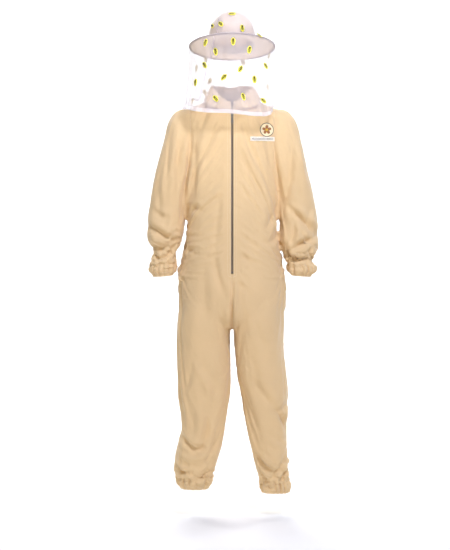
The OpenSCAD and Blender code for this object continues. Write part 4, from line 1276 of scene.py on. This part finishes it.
def make_badge(skin):
    ground = mesh_object("chest_patch", *disc(skin, PATCH_AT, lambda t: PATCH_R, 0.0012), MATERIALS["patch_ground"])
    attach(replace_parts(ground, "chest_patch"), "root")
    ring = np.linspace(0, 2 * math.pi, 180, endpoint=False)
    circle = [(PATCH_AT[0] + PATCH_R * math.cos(t), PATCH_AT[1] + PATCH_R * math.sin(t)) for t in ring]
    path, normals = front_path(skin, circle, 0.0008)
    edge = mesh_object("patch_edge", *tube_along(path, normals, 0.0014, closed=True, twist=0.16), MATERIALS["patch_edge"])
    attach(edge, "root")
    parts, eyes = [], []
    for k in range(5):
        turn = math.radians(90 + 72 * k)
        centre = (PATCH_AT[0] + 0.0100 * math.cos(turn), PATCH_AT[1] + 0.0100 * math.sin(turn))
        petal = lambda t, a=turn: 0.0050 + 0.0016 * math.cos(t - a) ** 2
        parts.append(disc(skin, centre, petal, 0.0019, rings=6, around=36, crown=0.0007))
    eyes.append(disc(skin, PATCH_AT, lambda t: 0.0042, 0.0024, rings=5, around=30, crown=0.0007))
    flower = mesh_object("patch_flower", *join(parts), MATERIALS["petal"])
    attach(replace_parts(flower, "patch_flower"), "root")
    eye = mesh_object("patch_flower_eye", *join(eyes), MATERIALS["flower_eye"])
    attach(eye, "root")
    half_w, half_h = LABEL_SIZE[0] / 2, LABEL_SIZE[1] / 2
    rows = [
        [on_front(skin, LABEL_AT[0] + half_w * u, LABEL_AT[1] + half_h * v, 0.0011) for u in np.linspace(-1, 1, 60)]
        for v in np.linspace(1, -1, 12)
    ]
    label, grid_rows, grid_normals = thickened(rows, 0.0009, MATERIALS["label_ground"], "chest_label")
    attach(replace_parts(label, "chest_label"), "root")
    border = [(grid_rows[1], grid_normals[1]), (grid_rows[-2], grid_normals[-2]),
              (grid_rows[:, 1], grid_normals[:, 1]), (grid_rows[:, -2], grid_normals[:, -2])]
    sewn = stitches("label_stitching", border, pitch=0.002)
    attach(sewn, "root")
    threads = []
    for shift in (-1, 1):
        wave = [
            (LABEL_AT[0] + u * half_w * 0.88, LABEL_AT[1] + shift * half_h * 0.52 * math.cos(u * 11 * math.pi))
            for u in np.linspace(-1, 1, 200)
        ]
        path, normals = front_path(skin, wave, 0.0015)
        threads.append(tube_along(path, normals, 0.0009, sides=6, twist=0.12))
    waves = mesh_object("label_thread", *join(threads), MATERIALS["label_thread"])
    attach(waves, "root")


POCKET_TOP, POCKET_LOW = -0.448, -0.566


def make_pockets(skin):
    for side, name in SIDES:
        lips = []
        for lean in (-1, 1):
            path, normals = [], []
            for u in np.linspace(0, 1, 60):
                z = POCKET_TOP + (POCKET_LOW - POCKET_TOP) * u
                y = SIDE_SEAM_Y + lean * (0.0008 + 0.0030 * math.sin(math.pi * u))
                place, normal, _, _ = skin.ray_cast(Vector((side * 0.1, y, z)), Vector((side, 0, 0)))
                path.append(np.array(place + normal * (0.0008 + 0.0016 * math.sin(math.pi * u) * (lean < 0))))
                normals.append(np.array(normal))
            lips.append(tube_along(path, normals, lambda s: 0.0005 + 0.0024 * math.sin(math.pi * s) ** 0.4, sides=10))
        welt = mesh_object(f"pocket_welt_{name}", *join(lips), MATERIALS["collar_cloth"])
        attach(welt, "root")
        layers = []
        for depth in (0.0035, 0.0062):
            rows = []
            for v in np.linspace(0, 1, 30):
                z = -0.534 - 0.160 * v
                reach = 0.168 + 0.010 * v
                inner = 0.092 + 0.030 * v**3
                rows.append([
                    on_front(skin, side * (reach + (inner - reach) * u), z, -depth - 0.0006 * math.sin(9 * v + 7 * u))
                    for u in np.linspace(0, 1, 20)
                ])
            rows = [list(reversed(r)) for r in rows] if side > 0 else rows
            layers.append(np.array(rows))
        outer, inner = layers
        count, across = outer.shape[:2]
        faces = [tuple(reversed(f)) for f in grid(count, across)]
        faces += grid(count, across, first=count * across)
        bag = mesh_object(
            f"pocket_bag_{name}", np.concatenate([outer.reshape(-1, 3), inner.reshape(-1, 3)]), faces,
            MATERIALS["lining"],
        )
        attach(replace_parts(bag, f"pocket_bag_{name}"), "root")


# ---- hat ------------------------------------------------------------------------------------

HAT_AT = np.array([0, -0.002, 0.250])
HAT_LEAN = math.radians(10)
BRIM_R, BRIM_DROP, BINDING_R = 0.155, 0.005, 0.0032
CROWN_HEIGHT = 0.121
VEIL_R = BRIM_R + BINDING_R + 0.0022
# The crown: share of its height, half width and half depth in millimetres.
CROWN = [(0, 84, 101), (0.24, 83, 100), (0.48, 79, 95), (0.68, 68, 83), (0.84, 52, 65), (0.95, 32, 40), (1, 2, 3)]


def on_hat(points):
    """Points of the hat's own frame, whose brim lies level at z 0, put on the leaning hat."""
    points = np.asarray(points, float)
    c, s = math.cos(HAT_LEAN), math.sin(HAT_LEAN)
    x, y, z = points[..., 0], points[..., 1], points[..., 2]
    return np.stack([x, y * c + z * s, -y * s + z * c], axis=-1) + HAT_AT


def crown_ring(share, turns, grow=0.0, gores=0.0008):
    half_width, half_depth = smooth_lookup(np.array([share]), CROWN)[0] * MM + grow
    x, y = oval(turns, half_width, half_depth, 2.2)
    dent = gores * np.exp(-((((turns * 6 / (2 * math.pi) + 0.5) % 1) - 0.5) / 0.035) ** 2)
    size = np.hypot(x, y)
    x, y = x * (1 - dent / size), y * (1 - dent / size)
    return np.column_stack([x, y, np.full(len(turns), share * CROWN_HEIGHT)])


def hat_piece(name, points, faces, material, slot, *nodes):
    obj = mesh_object(name, on_hat(points), faces, MATERIALS[material])
    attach(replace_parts(obj, *nodes), "hat")
    return obj


def make_hat():
    turns = np.linspace(0, 2 * math.pi, 192, endpoint=False)
    shares = 1 - (1 - np.linspace(0, 1, 34)) ** 1.6
    outer = [crown_ring(s, turns) for s in shares]
    inner = [crown_ring(s, turns, -0.0018) - np.array([0, 0, 0.0018 * s]) for s in shares[::-1]]
    rings = outer + inner
    hat_piece("hat_crown", np.concatenate(rings), grid(len(rings), len(turns), wrap=True) + [
        (k + (len(rings) - 1) * len(turns), (k + 1) % len(turns) + (len(rings) - 1) * len(turns), (k + 1) % len(turns), k)
        for k in range(len(turns))
    ], "hat_cloth", "hat_cloth", "hat_crown")
    crown_rows = []
    for gore in range(6):
        for lean in (-0.022, 0.022):
            t = gore * math.pi / 3 + lean
            rows = np.array([crown_ring(s, np.array([t]))[0] for s in shares[:-4]])
            out = unit(rows * (1, 1, 0.4))
            crown_rows.append((on_hat(rows + out * 0.0002), unit(on_hat(rows + out) - on_hat(rows))))
    inner_x, inner_y = oval(turns, 0.0845, 0.1015, 2.2)
    reach = BRIM_R - BINDING_R
    rows, brim_rows = [], []
    for s in np.linspace(0, 1, 40):
        x = inner_x + (reach * np.cos(turns) - inner_x) * s
        y = inner_y + (reach * np.sin(turns) - inner_y) * s
        wave = 0.0010 * s * np.sin(3 * turns + 0.8) + 0.0007 * s * np.sin(8 * turns) - 0.0004 * math.cos(s * 9 * 2 * math.pi)
        rows.append(np.column_stack([x, y, -BRIM_DROP * s + 0.002 + wave]))
    for s in range(4, 40, 5):
        for lift, facing in ((0.0001, 1), (-0.0019, -1)):
            ring = np.concatenate([rows[s], rows[s][:1]]) + np.array([0, 0, lift])
            up = np.tile(on_hat([0, 0, facing]) - on_hat([0, 0, 0]), (len(ring), 1))
            brim_rows.append((on_hat(ring), up))
    under = [r - np.array([0, 0, 0.0018]) for r in rows[::-1]]
    rings = rows + under
    hat_piece("hat_brim", np.concatenate(rings), [tuple(reversed(f)) for f in grid(len(rings), len(turns), wrap=True)] + [
        (k, (k + 1) % len(turns), (k + 1) % len(turns) + (len(rings) - 1) * len(turns), k + (len(rings) - 1) * len(turns))
        for k in range(len(turns))
    ], "hat_cloth", "hat_cloth", "hat_brim")
    ring = np.column_stack([BRIM_R * np.cos(turns), BRIM_R * np.sin(turns), np.full(len(turns), -BRIM_DROP)])
    out = unit(ring * (1, 1, 0))
    edge_wave = 1 + 0.05 * np.sin(23 * turns)
    path = ring + out * 0.0001 * edge_wave[:, None]
    binding = tube_along(path, out, BINDING_R, sides=14, closed=True, twist=0.03, flat=1.0)
    hat_piece("brim_binding", *binding, "binding", "brim_binding", "brim_binding")
    closed = np.concatenate([ring, ring[:1]])
    for lift in (1, -1):
        line = closed * (1 - 0.0022 / BRIM_R, 1 - 0.0022 / BRIM_R, 1) + np.array([0, 0, lift * 0.0024])
        up = np.tile(on_hat([0, 0, lift]) - on_hat([0, 0, 0]), (len(closed), 1))
        brim_rows.append((on_hat(line), up))
    for name, lines in (("crown_stitching", crown_rows), ("brim_stitching", brim_rows)):
        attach(stitches(name, lines), "hat")
    band = []
    for radius, height in ((0, 0.001), (0, 0.0275), (0.0004, 0.0285), (0.0016, 0.028), (0.0019, 0.0272), (0.0019, 0.0012), (0.001, 0.0005)):
        x, y = oval(turns, 0.0803 - radius, 0.0973 - radius, 2.2)
        ripple = 1 + 0.003 * np.sin(40 * turns)
        band.append(np.column_stack([x * ripple, y * ripple, np.full(len(turns), height)]))
    hat_piece("hat_sweatband", np.concatenate(band), grid(7, len(turns), wrap=True) + [
        (k + 6 * len(turns), (k + 1) % len(turns) + 6 * len(turns), (k + 1) % len(turns), k) for k in range(len(turns))
    ], "sweatband", "sweatband", "hat_sweatband")
    few = turns[::4]
    dome = [
        np.column_stack([r * np.cos(few), r * np.sin(few), np.full(len(few), CROWN_HEIGHT + h)]) * (1, 1, 1)
        for r, h in ((0.0085, -0.0015), (0.0086, 0.0004), (0.0078, 0.0018), (0.0058, 0.0026), (0.003, 0.003), (0.0004, 0.0031))
    ]
    hat_piece("hat_button", np.concatenate(dome), grid(6, len(few), wrap=True) + [
        tuple(range(5 * len(few), 6 * len(few))), tuple(reversed(range(len(few))))
    ], "hat_cloth", "hat_cloth", "hat_button")


# ---- veil -----------------------------------------------------------------------------------

VEIL_TURNS = 288
HEM_SHARE = 0.95


def brim_point(a, out):
    x, y = (VEIL_R + out) * np.cos(a), (VEIL_R + out) * np.sin(a)
    return on_hat(np.stack([x, y, np.full_like(x, -BRIM_DROP)], axis=-1))


def hem_point(a, out):
    """The curtain's lower edge: squarer than the brim, and spread further over the right shoulder."""
    c, s = np.cos(a), np.sin(a)
    side = np.where(c < 0, 0.180, 0.152) + out
    x = side * np.sign(c) * np.abs(c) ** 0.55
    y = (0.149 + out) * np.sign(s) * np.abs(s) ** 0.55 + 0.001
    z_left = (0.022 + 0.006 * c) * c**2 - np.where(s < 0, 0.006, 0.014) * s**2
    z_corner = 0.042 * np.abs(c) ** 8 - 0.017
    corner = smoothstep(x, -0.04, 0.10) * (s < 0)
    z = z_left + (z_corner - z_left) * corner
    return np.stack([x, y, z], axis=-1)


def curtain(shares, out=0.0):
    """Rows of the hanging veil, with folds that deepen downwards."""
    a = np.linspace(0, 2 * math.pi, VEIL_TURNS, endpoint=False)
    rows = []
    for s in shares:
        top, low = brim_point(a, out), hem_point(a, out)
        spread = s**3
        row = top + (low - top) * np.stack([np.full_like(a, v) for v in (spread, spread, s)], axis=-1)
        centre = row[:, :2].mean(0)
        away = unit(row[:, :2] - centre)
        depth = 0.0012 + 0.0075 * s**1.4 * (1 - 0.35 * s**6)
        wave = (
            0.50 * np.sin(11 * a + 1.1 * np.sin(2 * a + 1.0) + 0.9 * s)
            + 0.32 * np.sin(17 * a + 2.2 + 1.3 * np.sin(3 * a) - 0.7 * s)
            + 0.18 * np.sin(29 * a + 0.4)
        )
        row[:, :2] += away * (depth * wave)[:, None]
        rows.append(row)
    return rows


def veil_cap():
    """The veil's top, drawn over the crown and out over the brim."""
    a = np.linspace(0, 2 * math.pi, VEIL_TURNS, endpoint=False)
    rows = []
    for share in 1 - (1 - np.linspace(0, 1, 30)[::-1]) ** 1.5:
        ring = crown_ring(share, a, 0.0035 + 0.0006, 0.0)
        ring[:, 2] += 0.004 * share + 0.001
        rows.append(ring)
    base = rows[-1]
    size = np.hypot(base[:, 0], base[:, 1])
    for s in np.linspace(0, 1, 16)[1:]:
        reach = size + (VEIL_R - size) * s
        lift = 0.0085 * (1 - s) ** 2 + 0.0006 + s * 0.0024
        height = lift - BRIM_DROP * s**2 + 0.004 * math.sin(math.pi * s) ** 2
        if s == 1:
            height = -BRIM_DROP
        gather = (0.0016 * np.sin(19 * a + np.sin(4 * a)) + 0.0008 * np.sin(37 * a)) * (1 - s) * s * 3
        rows.append(np.stack([reach * np.cos(a), reach * np.sin(a), np.full_like(a, height) + np.abs(gather)], axis=-1))
    return [on_hat(r) for r in rows]


# The bees as seen from the front, in millimetres: x, z and how far the head tilts to the right.
BEES_IN_FRONT = [
    (0, 366, 90), (-41, 329, 50), (-71, 322, 65), (37, 314, 0), (-97, 262, -25), (4, 266, 0), (-60, 229, 12),
    (63, 236, -14), (100, 288, 8), (-100, 180, 38), (123, 177, 52), (30, 166, -32), (-30, 136, -48), (-134, 117, 4),
    (82, 128, 6), (-60, 58, 42), (41, 65, 22), (115, 50, 62), (-138, 277, -60),
]
BEES_BEHIND = [
    (-97, 203, 20), (-130, 169, -8), (-82, 121, -28), (-100, 80, 30), (130, 99, 15), (-145, 50, 10),
    (134, 214, -20), (40, 190, 35),
]
BEE_LENGTH, BEE_WIDTH = 0.0275, 0.0165


def bee(place, normal, tilt):
    """One felt bee: a yellow body with its wings, and on it a dark head and bands."""
    up = Vector((0, 0, 1)) - normal * normal.z
    up = up.normalized() if up.length > 0.2 else Vector((0, 1, 0))
    right = up.cross(normal) * -1
    t = math.radians(tilt)
    ahead = up * math.cos(t) + right * math.sin(t)
    aside = right * math.cos(t) - up * math.sin(t)

    def lobe(centre, length, width, thick, turn=0.0, rings=11, around=12, lift=0.0):
        c, s = math.cos(turn), math.sin(turn)
        long_way, wide_way = ahead * c + aside * s, aside * c - ahead * s
        middle = place + ahead * centre[0] + aside * centre[1] + normal * (thick * 0.5 + 0.0008 + lift)
        points = []
        for k in range(rings):
            v = -math.cos(math.pi * (0.04 + 0.92 * k / (rings - 1)))
            girth = (1 - abs(v) ** 3) ** 0.5
            for b in range(around):
                w = 2 * math.pi * b / around
                points.append(middle + long_way * v * length / 2 + wide_way * girth * width / 2 * math.cos(w)
                              + normal * girth * thick / 2 * math.sin(w))
        faces = grid(rings, around, wrap=True) + [tuple(reversed(range(around))), tuple(range((rings - 1) * around, rings * around))]
        return points, faces

    base = [lobe((0, 0), BEE_LENGTH, BEE_WIDTH * 0.84, 0.0012)]
    base += [lobe((0.0035, s * 0.0040), 0.0135, 0.0085, 0.0010, -s * 0.25) for s in (-1, 1)]
    base += [lobe((-0.0055, s * 0.0030), 0.0125, 0.0080, 0.0010, s * 0.15) for s in (-1, 1)]
    marks = [lobe((0.0078, 0), 0.0052, 0.0078, 0.0016, lift=0.0008)]
    marks += [
        lobe((along, 0), 0.0031, wide, 0.0014, lift=0.0008)
        for along, wide in ((0.0030, 0.0100), (-0.0016, 0.0106), (-0.0062, 0.0084))
    ]
    return base, marks


def make_veil(skin):
    cap_rows = veil_cap()
    top = np.concatenate(cap_rows)
    around = VEIL_TURNS
    cap_faces = [tuple(reversed(f)) for f in grid(len(cap_rows), around, wrap=True)]
    cap_faces.append(tuple(range(around)))
    cap = mesh_object("veil_top", top, cap_faces, MATERIALS["veil"])
    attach(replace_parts(cap, "veil_top"), "hat")
    shares = np.linspace(0, HEM_SHARE, 44)
    rows = [clear_of(r, skin, 0.003) if s > 0.55 else r for s, r in zip(shares, curtain(shares))]
    faces = grid(len(rows), around, wrap=True)
    hanging = mesh_object("veil_curtain", np.concatenate(rows), [tuple(reversed(f)) for f in faces], MATERIALS["veil"])
    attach(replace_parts(hanging, "veil_curtain"), "hat")
    hem_shares = np.linspace(HEM_SHARE, 1, 7)
    outer = [clear_of(r, skin, 0.003) for r in curtain(hem_shares, 0.0)]
    outer[0] = rows[-1]
    inner = [clear_of(r, skin, 0.002) for r in curtain(hem_shares[::-1], -0.0012)]
    hem_rows = outer + inner
    hem = mesh_object(
        "veil_hem", np.concatenate(hem_rows), [tuple(reversed(f)) for f in grid(len(hem_rows), around, wrap=True)],
        MATERIALS["veil_hem"],
    )
    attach(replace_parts(hem, "veil_hem"), "hat")
    surface = BVHTree.FromPolygons(
        np.concatenate([top, np.concatenate(rows)]).tolist(),
        cap_faces + [tuple(reversed([i + len(top) for i in f])) for f in faces],
    )
    seam_points, seam_normals = [], []
    for x, z in [(-44, 352), (-58, 310), (-66, 280), (-72, 240), (-82, 200), (-93, 160), (-103, 130), (-112, 90), (-120, 50), (-124, 20)]:
        hit = surface.ray_cast(CAMERA_AT, (Vector((x * MM, 0, z * MM)) - CAMERA_AT).normalized())
        if hit[0]:
            seam_points.append(np.array(hit[0]))
            seam_normals.append(np.array(hit[1]))
    run = np.linspace(0, len(seam_points) - 1, 120)
    path = np.column_stack([np.interp(run, range(len(seam_points)), np.array(seam_points)[:, k]) for k in range(3)])
    normals = np.column_stack([np.interp(run, range(len(seam_points)), np.array(seam_normals)[:, k]) for k in range(3)])
    placed = [surface.find_nearest(Vector(p)) for p in path]
    path = [np.array(h[0]) for h in placed]
    seam = mesh_object("veil_seam", *tube_along(path, normals, 0.0011, sides=6), MATERIALS["veil_seam"])
    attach(seam, "hat")
    yellow, dark = [], []
    for bees, first in ((BEES_IN_FRONT, True), (BEES_BEHIND, False)):
        for x, z, tilt in bees:
            ray = (Vector((x * MM, 0, z * MM)) - CAMERA_AT).normalized()
            hit = surface.ray_cast(CAMERA_AT, ray) if first else surface.ray_cast(CAMERA_AT + ray * 8, -ray)
            if hit[0] is None:
                continue
            normal = hit[1] if hit[1].dot(Vector((hit[0].x, hit[0].y, hit[0].z - 0.15))) > 0 else -hit[1]
            base, marks = bee(hit[0], normal, tilt if first else -tilt)
            yellow += base
            dark += marks
    for name, parts, material in (("bee_bodies", yellow, "bee_yellow"), ("bee_marks", dark, "bee_dark")):
        obj = mesh_object(name, *join(parts), MATERIALS[material])
        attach(obj, "hat")
        if name == "bee_bodies":
            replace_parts(obj, "veil_bees")


# ---- the CAD parts that show as they are ------------------------------------------------------

CAD_LOOKS = {
    "zip_slider": "zip_metal", "zip_pull": "zip_metal", "zip_top_stops": "zip_metal", "zip_bottom_stop": "zip_metal",
    "cuff_elastic_left": "elastic", "cuff_elastic_right": "elastic", "ankle_elastic_left": "elastic",
    "ankle_elastic_right": "elastic", "brim_wire": "wire",
}


def dress_cad_parts():
    for name, look in CAD_LOOKS.items():
        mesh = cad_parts[name].data
        mesh.materials.clear()
        mesh.materials.append(MATERIALS[look])


MATERIALS["veil_seam"] = cloth("veil_seam_thread", (0.42, 0.36, 0.42), pitch=0.0008)

make_studio()
make_camera()
skin, coverall = make_coverall()
make_collar(skin)
make_zip()
make_badge(skin)
make_pockets(skin)
make_hat()
make_veil(skin)
dress_cad_parts()
